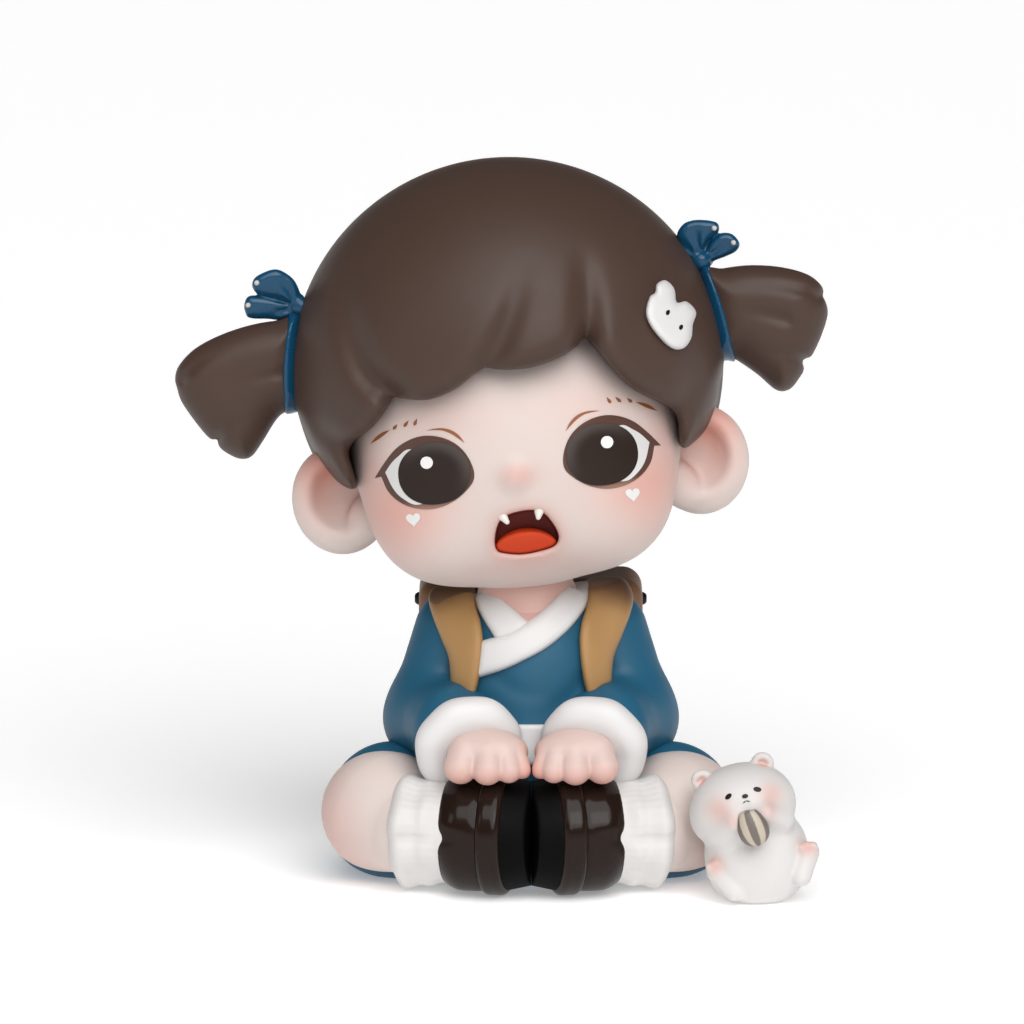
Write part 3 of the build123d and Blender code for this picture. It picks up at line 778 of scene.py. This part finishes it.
# ------------ head: rabbit-shaped clip
CLIP = curve([
    (26.9, 22.5), (28.2, 21.0), (28.35, 18.7), (30.0, 18.7), (31.4, 16.9), (30.6, 14.8), (30.1, 12.7),
    (28.6, 11.1), (26.4, 11.4), (23.9, 14.5), (23.0, 17.3), (23.9, 19.9), (24.9, 20.6), (25.4, 22.0)
])


def clip(p):
    x, v = HEAD.drawn(p)
    dome = ellipsoid(p, HAIR_CENTRE, HAIR_RADII)
    field = common(dome - 1.7, outline_distance(x, v, CLIP), 1.5)
    return np.maximum(np.maximum(field, -dome - 0.8), p[:, 1] - 4)


mould("hair_clip", clip, (20, -32, 8), (38, 6, 30), 0.28, white, "head", HEAD)
for number, centre in enumerate(((26.6, 17.1), (28.5, 14.5)), 1):
    printed(
        f"clip_eye_{number}_print", oval(centre, (0.3, 0.46), -30, 20), clip, stud_dark, "head", HEAD,
        0.06, spacing=0.2
    )

# ------------ head: side tails, their bands and bows
TAIL_Y = 3.0
TAIL_HALF_DEPTH, TAIL_ROUNDING = 7.0, 6.4
TAILS = {
    "left": (
        [
            (33.2, 23.2), (37.0, 23.8), (41.6, 23.8), (46.6, 22.9), (50.8, 21.2), (53.0, 18.9),
            (53.3, 16.6), (53.4, 14.2), (51.9, 10.7), (50.0, 7.6), (49.0, 6.3), (48.0, 4.8), (45.9, 2.7),
            (43.6, 2.8), (40.7, 5.8), (37.0, 8.9), (33.6, 10.6)
        ],
        [
            ([(52.2, 17.4), (50.2, 18.2), (45.0, 19.8), (36.0, 20.6)], 0.7, 0.9),
            ([(46.4, 14.0), (43.2, 15.2), (39.9, 16.1), (36.1, 16.5)], 0.6, 1.1),
            ([(48.8, 7.0), (47.3, 7.6), (44.5, 8.7), (41.0, 9.6)], 0.9, 0.9)
        ]
    ),
    "right": (
        [
            (33.6, 23.2), (38.0, 23.6), (42.5, 23.3), (47.5, 22.2), (51.7, 20.5), (54.6, 18.1),
            (55.6, 15.9), (55.4, 14.2), (54.9, 12.0), (53.3, 8.9), (51.4, 5.9), (50.1, 4.6), (48.9, 3.1),
            (46.6, 1.6), (44.5, 1.7), (42.3, 4.0), (39.0, 7.9), (34.2, 10.6)
        ],
        [
            ([(54.2, 15.4), (53.1, 16.6), (50.4, 18.3), (45.5, 20.0)], 0.7, 0.9),
            ([(37.6, 14.8), (40.5, 14.4), (43.4, 13.8), (47.0, 12.0)], 0.6, 1.1),
            ([(49.4, 5.5), (48.4, 6.2), (46.1, 7.3), (42.5, 8.4)], 0.9, 0.9)
        ]
    ),
}
BOW_ROOT = (33.4, 25.2)
# Of each bow: the upper loop, the lower loop, and the middle of the pale dot at each loop's end.
BOWS = {
    "left": (
        [
            (32.6, 25.0), (33.9, 27.2), (35.9, 29.0), (37.0, 30.2), (36.5, 31.5), (33.2, 32.2),
            (31.0, 31.6), (29.8, 29.5), (31.0, 26.5)
        ],
        [
            (32.6, 25.4), (33.6, 24.4), (37.2, 25.6), (39.4, 26.4), (40.1, 27.6), (38.9, 29.3),
            (36.6, 29.4), (34.2, 27.8)
        ], ((36.2, 30.5), (39.1, 27.8))
    ),
    "right": (
        [
            (33.0, 24.6), (36.8, 26.7), (39.2, 27.8), (40.6, 28.7), (40.9, 30.1), (39.8, 31.3),
            (36.8, 32.0), (34.6, 30.6), (33.0, 27.8)
        ],
        [
            (33.4, 25.6), (36.5, 27.1), (39.4, 27.9), (41.7, 28.1), (42.6, 26.9), (42.6, 25.5),
            (41.9, 24.5), (38.6, 24.0), (36.6, 23.7), (34.2, 23.0)
        ], ((40.0, 30.0), (41.9, 26.5))
    ),
}


def tail(outline, grooves, sign):
    def field(p):
        x, v = HEAD.drawn(p * np.array((sign, 1, 1)))
        x = x * sign
        depth = p[:, 1] - TAIL_Y
        made = round_slab(outline_distance(x, v, outline), depth, TAIL_HALF_DEPTH, TAIL_ROUNDING)
        for line, deep, wide in grooves:
            made = made + groove(x, v, line, deep, wide)
        return made
    return field


def band(outline, sign):
    """A ribbon that lies against the hair's dome, round the tail's root."""
    def field(p):
        real = p * np.array((sign, 1, 1))
        x, v = HEAD.drawn(real)
        root = round_slab(
            outline_distance(x * sign, v, outline), p[:, 1] - TAIL_Y, TAIL_HALF_DEPTH, TAIL_ROUNDING
        )
        dome = ellipsoid(real, HAIR_CENTRE, HAIR_RADII)
        return common(root - 0.6, np.abs(dome - 0.4) - 1.3, 0.7)
    return field


def bow(upper, lower, sign):
    def field(p):
        x, v = HEAD.drawn(p * np.array((sign, 1, 1)))
        x = x * sign
        depth = p[:, 1] - TAIL_Y + 1.0
        out = np.hypot(x - BOW_ROOT[0], v - BOW_ROOT[1])
        half = 1.6 + 0.14 * out
        made = join(
            round_slab(outline_distance(x, v, upper), depth, half, 1.5),
            round_slab(outline_distance(x, v, lower), depth - 0.6, half, 1.5), 0.4
        )
        angle = np.arctan2(v - BOW_ROOT[1], x - BOW_ROOT[0])
        pleats = 0.22 * np.cos(11 * angle + 0.6) * step_up(out, 1.0, 3.0) * step_up(7.5 - out, 0, 5)
        made = made + pleats
        knot = round_slab(out - 1.7, depth, 2.4, 1.6)
        return join(made, knot, 0.6)
    return field


for side, sign in SIDES:
    outline, grooves = TAILS[side]
    upper, lower, pale_tips = BOWS[side]
    mould(
        f"pigtail_{side}", tail(curve(outline), grooves, sign), (32, -5, 0), (58, 11, 26), 0.45,
        hair_brown, f"{side}_tail", HEAD, flip=sign < 0
    )
    mould(
        f"ribbon_band_{side}", band(curve(outline), sign), (30, -6, 8), (42, 12, 27), 0.3, ribbon_blue,
        "head", HEAD, flip=sign < 0
    )
    mould(
        f"ribbon_bow_{side}", bow(curve(upper), curve(lower), sign), (28, -3, 21), (46, 7, 37), 0.28,
        ribbon_blue, "head", HEAD, flip=sign < 0
    )
    for number, ((x, v), y) in enumerate(zip(pale_tips, (TAIL_Y - 3.6, TAIL_Y - 3.1)), 1):
        centre = (x, y, (v - y * sin(FRONT_TILT)) / cos(FRONT_TILT))
        mould(
            None, lambda p, c=centre: ellipsoid(p, c, (0.45, 0.5, 0.45)), np.array(centre) - 1.5,
            np.array(centre) + 1.5, 0.15, ribbon_end, "head", HEAD, flip=sign < 0,
            name=f"ribbon_end_{number}_{side}_vinyl"
        )

# ------------ torso, collars, straps
TORSO = curve([
    (0, 0.4, 1), (19.5, 0.4, 1), (21.0, 3.0), (20.0, 8.0), (18.2, 16.0), (16.6, 24.0), (15.4, 32.0),
    (14.2, 38.5), (12.0, 43.6), (8.0, 47.0), (0, 48.4, 1)
])
TORSO_MIRRORED = np.concatenate([TORSO, TORSO[::-1] * np.array((-1, 1))])
CHEST = curve([
    (-9.0, 52, 1), (-5.4, 46.3), (-2.4, 42.0), (-0.7, 40.0, 1), (2.7, 42.4), (5.2, 45.6), (9.4, 52, 1)
])
COLLAR_OVER = curve([
    (-8.7, 37.5, 1), (-4.3, 38.8), (-0.7, 40.8), (2.3, 43.1), (4.5, 46.0), (5.8, 50.5, 1),
    (12.0, 51.5, 1), (11.8, 48.1), (10.2, 44.8), (8.2, 41.8), (5.7, 39.0), (2.3, 36.3), (-1.8, 34.1),
    (-5.2, 32.6), (-9.6, 31.2, 1)
])
COLLAR_UNDER = curve([
    (-12.0, 51, 1), (-10.8, 46.8), (-8.7, 42.4), (-5.8, 37.8, 1), (-2.4, 38.8), (-0.2, 40.6, 1),
    (-2.3, 42.5), (-4.2, 44.8), (-6.2, 51, 1)
])
STRAP = curve([
    (9.0, 52, 1), (9.3, 44.5), (8.3, 40.4), (8.0, 37.0), (8.6, 31.5), (10.0, 26.0, 1), (13.4, 26.5, 1),
    (13.6, 34.0), (15.0, 38.0), (16.4, 41.6), (17.1, 44.4), (16.7, 47.0), (15.8, 52, 1)
])
PEG_X, PEG_Z = 7.0, 33.0  # the backpack's two pegs, and their holes in the robe
PEG_RADIUS, PEG_PLAY = 2.0, 0.05
HEM = curve([(-2.2, 17.0, 1), (-2.2, 23.8, 1), (2.2, 23.8, 1), (2.2, 17.0, 1)], steps=1)


def torso(p):
    """A turned body."""
    return outline_distance(np.hypot(p[:, 0], p[:, 1]), p[:, 2], TORSO_MIRRORED)


HEAD_ROOM_RADIUS = NAPE_RADIUS + 1.2  # the nape and the play round it
HEAD_ROOM_FRONT_Y = -5.5
CLOTH_ROOM = 0.6  # more room under the straps, so that no cloth shows through them


def with_head_room(field, more=0.0):
    """A shape on the shoulders with the room cut away that the hair sweeps as the head turns."""
    def cleared(p):
        q = HEAD.to_local(p)
        outside = np.maximum(np.hypot(q[:, 0], q[:, 1]) - NAPE_CENTRE[1], 0)
        below = np.minimum(q[:, 2] - NAPE_CENTRE[2], 0)
        ring = np.hypot(outside, below) - HEAD_ROOM_RADIUS - more
        return without(field(p), np.maximum(ring, HEAD_ROOM_FRONT_Y - p[:, 1]), 0.6)
    return cleared


def on_side(field, sign):
    """A field with its x turned over for the right side. Turned twice, it is as it was."""
    return lambda p: field(p * np.array((sign, 1, 1)))


def robe(p):
    x, v = BODY.drawn(p)
    front = step_up(-p[:, 1], 4, 10)
    hole = rod(mirrored(p), (PEG_X, 5, PEG_Z), (PEG_X, FAR, PEG_Z), PEG_RADIUS + PEG_PLAY)
    made = without(torso(p), hole, 0.3)
    for line, depth, width in (
        ([(-6.0, 32.0), (-2.5, 29.5), (2.5, 28.5), (7.0, 29.5)], 0.35, 1.4),
        ([(8.5, 31.0), (5.0, 27.0), (0.5, 24.5), (-4.0, 24.0)], 0.45, 1.6)
    ):
        made = made + front * groove(x, v, line, depth, width)
    return made


def layer(outline, proud, rounding, under=torso, back_y=3.0, sunk=1.0):
    """What lies on the front of the torso, or of what is under it, within an outline."""
    def field(p):
        x, v = BODY.drawn(p)
        base = under(p)
        made = common(base - proud, outline_distance(x, v, outline), rounding)
        return np.maximum(np.maximum(made, -base - sunk), p[:, 1] - back_y)
    return field


def neck(p):
    return rod(p, (-0.4, -2.4, 43.0), (-1.4, -2.0, 52.0), 9.6, 6.6)


mould(
    "torso_shell", with_head_room(robe, CLOTH_ROOM), (-23, -23, 0), (23, 23, 50), 0.6, robe_blue,
    "figure", name="robe_vinyl"
)
mould(
    "neck_post", neck, (-12, -13, 33), (12, 9, 56), 0.5, skin, frame["nodes"]["neck_post"]["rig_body"],
    paint={"warm": lambda p: 0.5 + 0 * p[:, 2]}, name="neck_vinyl"
)
mould(
    "chest_skin", layer(CHEST, 0.35, 0.2), (-12, -20, 34), (12, 4, 50), 0.4, skin, "figure",
    paint={"warm": lambda p: 0.6 * step_up(50 - p[:, 2], 0, 6)}, name="chest_vinyl"
)
mould(
    "collar_under", with_head_room(layer(COLLAR_UNDER, 1.2, 1.3)), (-15, -21, 34), (3, 4, 50), 0.38,
    white, "figure"
)
mould(
    "collar_over", with_head_room(layer(COLLAR_OVER, 1.5, 1.5)), (-12, -21, 30), (15, 4, 50), 0.38, white,
    "figure"
)
mould("jacket_hem", layer(HEM, 1.4, 0.8), (-4, -24, 14), (4, -10, 30), 0.38, white, "figure")

# ------------ arms
SHOULDER, SHOULDER_RADIUS = (12.0, 0.8, 39.4), 7.5
ELBOW, ELBOW_RADIUS = (16.3, -1.4, 24.7), 7.8
CUFF_LINE = np.array((-0.22, -0.90, -0.36)) / np.linalg.norm((-0.22, -0.90, -0.36))
CUFF_END = np.array((9.8, -24.4, 23.7))
CUFF_LENGTH = 7.6
FINGERS = (
    (11.6, -28.6, 22.4, 2.8), (7.2, -29.6, 22.2, 2.6), (3.7, -29.4, 22.0, 2.1), (1.5, -28.6, 22.0, 1.55)
)


def sleeve(p):
    upper = rod(p, SHOULDER, ELBOW, SHOULDER_RADIUS, ELBOW_RADIUS)
    fore = rod(p, (16.4, 0.5, 25.6), (12.4, -14.0, 26.0), 7.7, 7.4)
    made = join(upper, fore, 3.0)
    x, v = BODY.drawn(p)
    for line, depth, width in (
        ([(10.0, 34.5), (14.0, 32.0), (18.5, 31.0)], 0.8, 1.4),
        ([(9.0, 30.0), (13.5, 28.6), (18.0, 29.0)], 0.7, 1.2),
        ([(13.0, 24.5), (17.0, 25.5), (21.0, 28.0)], 0.4, 1.4)
    ):
        made = made + groove(x, v, line, depth, width)
    return made


def clothed(p):
    return join(torso(p), rod(p, SHOULDER, ELBOW, SHOULDER_RADIUS, ELBOW_RADIUS), 3.0)


def cuff(p):
    along, out, angle = about_axis(p, CUFF_END, CUFF_LINE)
    radius = 7.9 + 1.7 * step_up(along, -CUFF_LENGTH, 0) + 0.12 * np.sin(7 * angle)
    made = round_slab(out - radius, along + CUFF_LENGTH / 2, CUFF_LENGTH / 2, 3.8)
    made = without(made, ellipsoid(p, CUFF_END + np.array((-2.0, -3.4, -2.4)), (8.0, 4.0, 5.6)), 1.6)
    return common(made, 0.2 - p[:, 0], 1.4)


def hand(p):
    made = ellipsoid(p, (7.2, -25.6, 24.3), (6.7, 4.6, 3.9))
    for x, y, z, radius in FINGERS:
        knuckle = (7.0 + (x - 7.0) * 0.85, y + 1.5, z + 2.5)
        made = join(made, rod(p, knuckle, (x, y, z), radius * 0.85, radius), 0.5)
    return common(made, 0.05 - p[:, 0], 0.4)


def hand_warmth(p):
    return np.clip(0.2 + 0.4 * step_up(24.5 - p[:, 2], 0, 4.5) + 0.3 * step_up(3.0 - p[:, 0], 0, 3), 0, 1)


def strap(sign):
    drawn = layer(STRAP, 2.2, 2.0, clothed, 11.5, sunk=4.0)
    return on_side(with_head_room(on_side(drawn, sign)), sign)


def cleared_sleeve(sign):
    return on_side(with_head_room(on_side(sleeve, sign), CLOTH_ROOM), sign)


# the dark mask on the straps, rising towards their tops under the head, is painted shade
mould_sides(
    "strap", strap, (5, -22, 24), (20, 13, 52), 0.38, strap_tan, "figure",
    {"dark": lambda p: step_up(p[:, 2] + 0.5 * (p[:, 0] - 12), 44.5, 50.0)}
)
mould_sides("sleeve", cleared_sleeve, (2, -28, 14), (27, 11, 53), 0.55, robe_blue, "figure")
mould_pair("cuff", cuff, (-1, -32, 10), (23, -12, 40), 0.42, white, "figure")
mould_pair(
    "hand", hand, (-1, -34, 16), (16, -20, 30), 0.3, skin, "figure", paint={"warm": hand_warmth}
)

# ------------ legs, socks and shoes
FOOT_CENTRE = np.array((3.4, -24.0, 10.3))
FOOT_LINE = np.array((cos(radians(12)), sin(radians(12)), 0))  # from the sole towards the leg
SOCK_RADIUS, SHOE_RADIUS, WELT_RADIUS, TREAD_RADIUS = 8.6, 9.8, 10.3, 9.4
KNEE, KNEE_RADIUS = (24.8, -14.6, 12.0), 9.5


def leg(p):
    shin = rod(p, KNEE, (20.0, -20.4, 10.6), KNEE_RADIUS, 8.0)
    return join(shin, rod(p, KNEE, (21.5, -7.0, 11.5), KNEE_RADIUS, 9.0), 2)


def trouser(p):
    made = rod(p, (10.0, -6.0, 10.6), (23.0, -5.4, 10.8), 10.4, 11.0)
    pressed_flat = ellipsoid(p, (19.5, -8.5, 4.2), (11.8, 8.6, 4.6))  # cloth under the thigh
    made = join(made, pressed_flat, 3.0)
    return np.maximum(made, 0.15 - p[:, 2])


def sock(p):
    along, out, angle = about_axis(p, FOOT_CENTRE, FOOT_LINE)
    loose = step_up(along, 10.5, 13.5)
    ribs = 0.03 * np.cos(44 * angle) * step_up(along, 9, 12) * step_up(19.5 - along, 0, 2)
    folds = 0.3 * np.sin(3 * angle + 0.7) + 0.2 * np.sin(7 * angle + along * 0.3)
    roll = 0.45 * np.exp(-(((along - 17.3) / 1.5) ** 2)) - 0.3 * np.exp(-(((along - 14.6) / 1.2) ** 2))
    pinch = 0.5 * np.exp(-(((p[:, 2] - 10.4) / 1.2) ** 2)) * step_up(out, 6, 9)
    radius = SOCK_RADIUS + 0.6 * loose + loose * (folds + roll - pinch) + ribs
    return np.maximum(round_slab(out - radius, along - 13.2, 6.0, 2.4), 0.1 - p[:, 2])


def shoe(p):
    along, out, _ = about_axis(p, FOOT_CENTRE, FOOT_LINE)
    made = round_slab(out - SHOE_RADIUS, along - 6.3, 5.8, 4.8)
    pinch = 0.5 * np.exp(-(((p[:, 2] - 10.8) / 1.3) ** 2)) * step_up(along, 4.0, 10.5)
    return np.maximum(made + pinch, 0.05 - p[:, 2])


def welt(p):
    along, out, _ = about_axis(p, FOOT_CENTRE, FOOT_LINE)
    made = round_slab(out - WELT_RADIUS, along - 2.1, 2.1, 1.2)
    return np.maximum(made, 0.02 - p[:, 2])


def tread(p):
    along, out, _ = about_axis(p, FOOT_CENTRE, FOOT_LINE)
    made = round_slab(out - TREAD_RADIUS - 0.25 * np.minimum(along, 0), along + 1.7, 2.3, 0.5)
    return np.maximum(np.maximum(made, 0.06 - p[:, 0]), 0.1 - p[:, 2])


mould_pair(
    "leg", leg, (8, -32, -1), (37, 5, 23), 0.55, skin, "figure",
    paint={"warm": lambda p: 0.38 * step_up(p[:, 0] - 0.3 * p[:, 2], 21, 33)}
)
mould_pair("trouser", trouser, (-2, -19, -1), (36, 8, 23), 0.6, robe_blue, "figure")
mould_pair("sock", sock, (5, -36, -1), (28, -7, 23), 0.34, sock_white, "figure")
mould_pair("shoe_upper", shoe, (1, -36, -1), (19, -8, 23), 0.4, shoe_gloss, "figure")
mould_pair("sole_welt", welt, (-2, -37, -1), (11, -11, 23), 0.36, shoe_gloss, "figure")
mould_pair("sole_tread", tread, (-3, -36, 0), (8, -12, 22), 0.32, sole_dark, "figure")

# ------------ backpack
def bag_case(p):
    made = round_box(p, (-17.3, 12.2, 13), (17.3, 28, 41), 5.0)
    made = join(made, round_box(p, (-10.5, 24, 16), (10.5, 30.0, 29), 3.4), 1.2)  # front pocket
    seam = 0.45 * np.exp(-(((p[:, 1] - 25.2) / 0.5) ** 2)) * step_up(np.abs(p[:, 0]), 13, 15)
    pegs = rod(mirrored(p), (PEG_X, 10.0, PEG_Z), (PEG_X, 20.0, PEG_Z), PEG_RADIUS - PEG_PLAY)
    return np.minimum(without(made + seam, torso(p) - 0.35, 0.4), pegs)


def bag_flap(p):
    made = round_box(p, (-18.9, 12.2, 36.0), (18.9, 29.8, 45.8), 3.4)
    lip = ellipsoid(p, (0, 27.6, 36.5), (14.5, 3.0, 7.5), 2.6)
    edge = 0.4 * np.exp(-(((p[:, 2] - 37.9) / 0.45) ** 2))
    return without(join(made, lip, 2.0) + edge, torso(p) - 0.35, 0.4)


def bag_shade(p):
    return 0.45 * step_up(p[:, 1], 26.5, 29.5) * step_up(np.abs(p[:, 0]), 7, 15)


def stud(p):
    made = rod(p, (17.6, 21.5, 41.2), (18.7, 21.5, 41.2), 1.15)
    return without(made, ball(p, (20.3, 21.5, 41.2), 0.7), 0.3)


mould(
    "backpack_case", bag_case, (-19, 8, 11), (19, 32, 43), 0.55, bag_brown, "backpack",
    paint={"dark": bag_shade}
)
mould(
    "backpack_flap", bag_flap, (-21, 8, 27), (21, 33, 48), 0.5, bag_brown, "backpack",
    paint={"dark": bag_shade}
)
mould_pair("backpack_stud", stud, (15, 18, 38), (22, 25, 45), 0.22, stud_dark, "backpack")

# ------------ hamster
HAMSTER_EARS = ((-6.7, 0.2, 21.8), (3.5, 0.2, 22.6))
HAMSTER_ARMS = (((-5.2, -5.0, 13.4), (-2.8, -8.2, 15.5)), ((4.8, -5.0, 13.8), (2.6, -8.2, 16.0)))
HAMSTER_FEET = (((-7.4, -3.9, 7.4), (-5.2, -5.2, 3.7)), ((8.0, -3.7, 7.3), (6.0, -5.0, 3.8)))
SEED_CENTRE = (-0.1, -9.4, 14.7)
SEED_RADII = (2.5, 1.9, 3.4)
SEED_LEAN = radians(8)


def hamster_bulk(p):
    body = ellipsoid(p, (-0.5, 0, 7.6), (8.6, 7.2, 8.4), 2.2)
    head = ellipsoid(p, (-1.0, -0.6, 16.9), (8.3, 7.8, 6.6), 2.1)
    for x, z in ((-5.4, 15.5), (2.8, 16.2)):
        head = join(head, ball(p, (x, -1.5, z), 4.4), 2.0)  # cheeks
    return join(body, head, 1.5)


def hamster(p):
    made = hamster_bulk(p)
    for x, y, z in HAMSTER_EARS:
        bump = without(ellipsoid(p, (x, y, z), (1.9, 1.2, 1.9)), ball(p, (x, y - 1.5, z), 1.15), 0.5)
        made = join(made, bump, 0.5)
    for start, end in HAMSTER_ARMS:
        made = join(made, rod(p, start, end, 1.7, 1.4), 2.2)
    for start, end in HAMSTER_FEET:
        made = join(made, rod(p, start, end, 1.75, 1.6), 0.7)
        for toe in (-1.0, 0.0, 1.0):
            centre = np.array(start) + np.array((toe * 0.95, -0.9, 1.3 - 0.25 * abs(toe)))
            made = join(made, ball(p, centre, 0.72), 0.4)
    made = join(made, ball(p, (0.5, 8.2, 4.0), 1.7), 1.2)  # tail
    return common(made, 0.05 - HAMSTER.to_row(p)[:, 2], 0.8)  # flat where it stands


def hamster_warmth(p):
    across, up = HAMSTER.drawn(p)
    front = step_up(-p[:, 1], 2, 5)
    warmth = np.zeros(len(p))
    for x, v, wide, strength in (
        (-5.2, 16.6, 2.1, 0.55), (3.6, 17.3, 2.1, 0.5), (-3.0, 14.1, 1.4, 0.4), (2.6, 14.5, 1.4, 0.4)
    ):
        warmth += strength * front * np.exp(-(((across - x) ** 2 + (up - v) ** 2) / wide**2))
    for x, y, z in HAMSTER_EARS:
        warmth += 0.8 * np.exp(-(length(p - np.array((x, y - 1.0, z))) ** 2) / 1.1)
    for start, _ in HAMSTER_FEET:
        toes = np.array(start) + np.array((0, -1.0, 1.2))
        warmth += 0.75 * np.exp(-(length(p - toes) ** 2) / 2.6)
    return np.clip(warmth, 0, 1)


def seed(p):
    c, s = cos(SEED_LEAN), sin(SEED_LEAN)
    q = p - np.array(SEED_CENTRE)
    q = np.stack([c * q[:, 0] + s * q[:, 2], q[:, 1], c * q[:, 2] - s * q[:, 0]], 1)
    taper = 1 - 0.22 * np.clip(q[:, 2] / SEED_RADII[2], -1, 1)
    return ellipsoid(q / np.stack([taper, taper, np.ones(len(q))], 1), (0, 0, 0), SEED_RADII) * 0.85


def seed_stripes(p):
    q = p - np.array(SEED_CENTRE)
    half_width = SEED_RADII[0] * np.sqrt(np.clip(1.02 - (q[:, 2] / 3.5) ** 2, 0.05, 1))
    across = (q[:, 0] + 0.14 * q[:, 2]) / half_width
    return step_up(np.cos(across * 2.0 * pi), -0.3, 0.0)


mould(
    "hamster_body", hamster, (-12, -13, -3), (12, 11, 26), 0.3, hamster_white, "hamster",
    HAMSTER, {"warm": hamster_warmth}, name="hamster_vinyl"
)
mould(
    "hamster_seed", seed, (-4, -13, 7), (5, -6, 17), 0.16, seed_shell, "hamster", HAMSTER,
    {"stripe": seed_stripes}
)
for name, outline in (
    ("eye_right", oval((-3.25, 18.4), (0.62, 0.36), 30, 24)),
    ("eye_left", oval((1.6, 18.55), (0.66, 0.38), -22, 24)),
    ("nose", oval((-0.6, 17.9), (0.5, 0.34), 0, 20)),
    ("mouth_right", dash((-0.62, 17.15), (-1.25, 16.85), 0.09)),
    ("mouth_left", dash((-0.62, 17.15), (0.05, 16.9), 0.09))
):
    printed(
        f"hamster_{name}_print", outline, hamster_bulk, stud_dark, "hamster", HAMSTER, 0.1,
        spacing=0.2
    )

# ------------ the CAD part that stays
seat = frame["nodes"]["seat_plate"]
seat.data.materials.clear()
seat.data.materials.append(robe_blue)

# ------------ floor, light and camera
SKY_STRENGTH, SKY_SPREAD = 2.75, radians(60)
SKY_FORWARD, SKY_SIDEWAYS = radians(42), radians(10)  # how far it leans to the front and to the side


def pale_floor():
    half = 7.0  # metres
    mesh = bpy.data.meshes.new("floor")
    mesh.from_pydata(
        [(-half, -half, 0), (half, -half, 0), (half, half, 0), (-half, half, 0)], [], [(0, 1, 2, 3)]
    )
    made = bpy.data.objects.new("floor", mesh)
    bpy.context.scene.collection.objects.link(made)
    paint = finish("floor_paint", (252, 252, 252), 0.9, drift=0.0, grain=0.0)
    shader = paint.node_tree.nodes["Principled BSDF"]
    shader.inputs["Emission Color"].default_value = (1, 1, 1, 1)
    shader.inputs["Emission Strength"].default_value = 0.27
    mesh.materials.append(paint)


def soft_light(name, place, size, power):
    """A square softbox aimed at the figure's chest."""
    lamp = bpy.data.lights.new(name, "AREA")
    lamp.size = size
    lamp.energy = power
    made = bpy.data.objects.new(name, lamp)
    made.location = place
    made.rotation_euler = (Vector((0, 0, 0.06)) - Vector(place)).to_track_quat("-Z", "Y").to_euler()
    bpy.context.scene.collection.objects.link(made)


def sky_light():
    """A wide, even light from above, which keeps the floor pale as far as it shows."""
    lamp = bpy.data.lights.new("overhead_diffuser", "SUN")
    lamp.energy = SKY_STRENGTH
    lamp.angle = SKY_SPREAD
    made = bpy.data.objects.new("overhead_diffuser", lamp)
    made.rotation_euler = (SKY_FORWARD, SKY_SIDEWAYS, 0)
    bpy.context.scene.collection.objects.link(made)


CAMERA_TARGET = np.array((-3.17, 0, 59.86))
CAMERA_DISTANCE = 1400.0
PICTURE_WIDTH = 170.667  # millimetres across the picture at the target
SENSOR = 36.0


def camera():
    seen = bpy.data.cameras.new("camera")
    seen.sensor_width = SENSOR
    seen.lens = SENSOR * CAMERA_DISTANCE / PICTURE_WIDTH
    made = bpy.data.objects.new("camera", seen)
    made.location = (CAMERA_TARGET - LOOK * CAMERA_DISTANCE) * MM
    made.rotation_euler = Vector(LOOK).to_track_quat("-Z", "Y").to_euler()
    bpy.context.scene.collection.objects.link(made)
    bpy.context.scene.camera = made


pale_floor()
bpy.context.scene.view_settings.view_transform = "Standard"  # the finishes' own colours
world = bpy.data.worlds.new("soft_white")
bpy.context.scene.world = world
world.use_nodes = True
world_nodes, world_links = world.node_tree.nodes, world.node_tree.links
world_nodes["Background"].inputs["Color"].default_value = (1, 1, 1, 1)
world_place = world_nodes.new("ShaderNodeTexCoord")
world_height = world_nodes.new("ShaderNodeSeparateXYZ")
world_fade = world_nodes.new("ShaderNodeMapRange")  # white at the horizon and dim above
world_fade.inputs["From Min"].default_value = 0.06
world_fade.inputs["From Max"].default_value = 0.2
world_fade.inputs["To Min"].default_value = 0.96
world_fade.inputs["To Max"].default_value = 0.09
world_links.new(world_place.outputs["Generated"], world_height.inputs["Vector"])
world_links.new(world_height.outputs["Z"], world_fade.inputs["Value"])
world_links.new(world_fade.outputs["Result"], world_nodes["Background"].inputs["Strength"])
sky_light()
soft_light("front_softbox", (0.35, -0.85, 0.7), 0.45, 1.3)
soft_light("side_softbox", (-0.7, -0.6, 0.55), 0.3, 0.5)
camera()
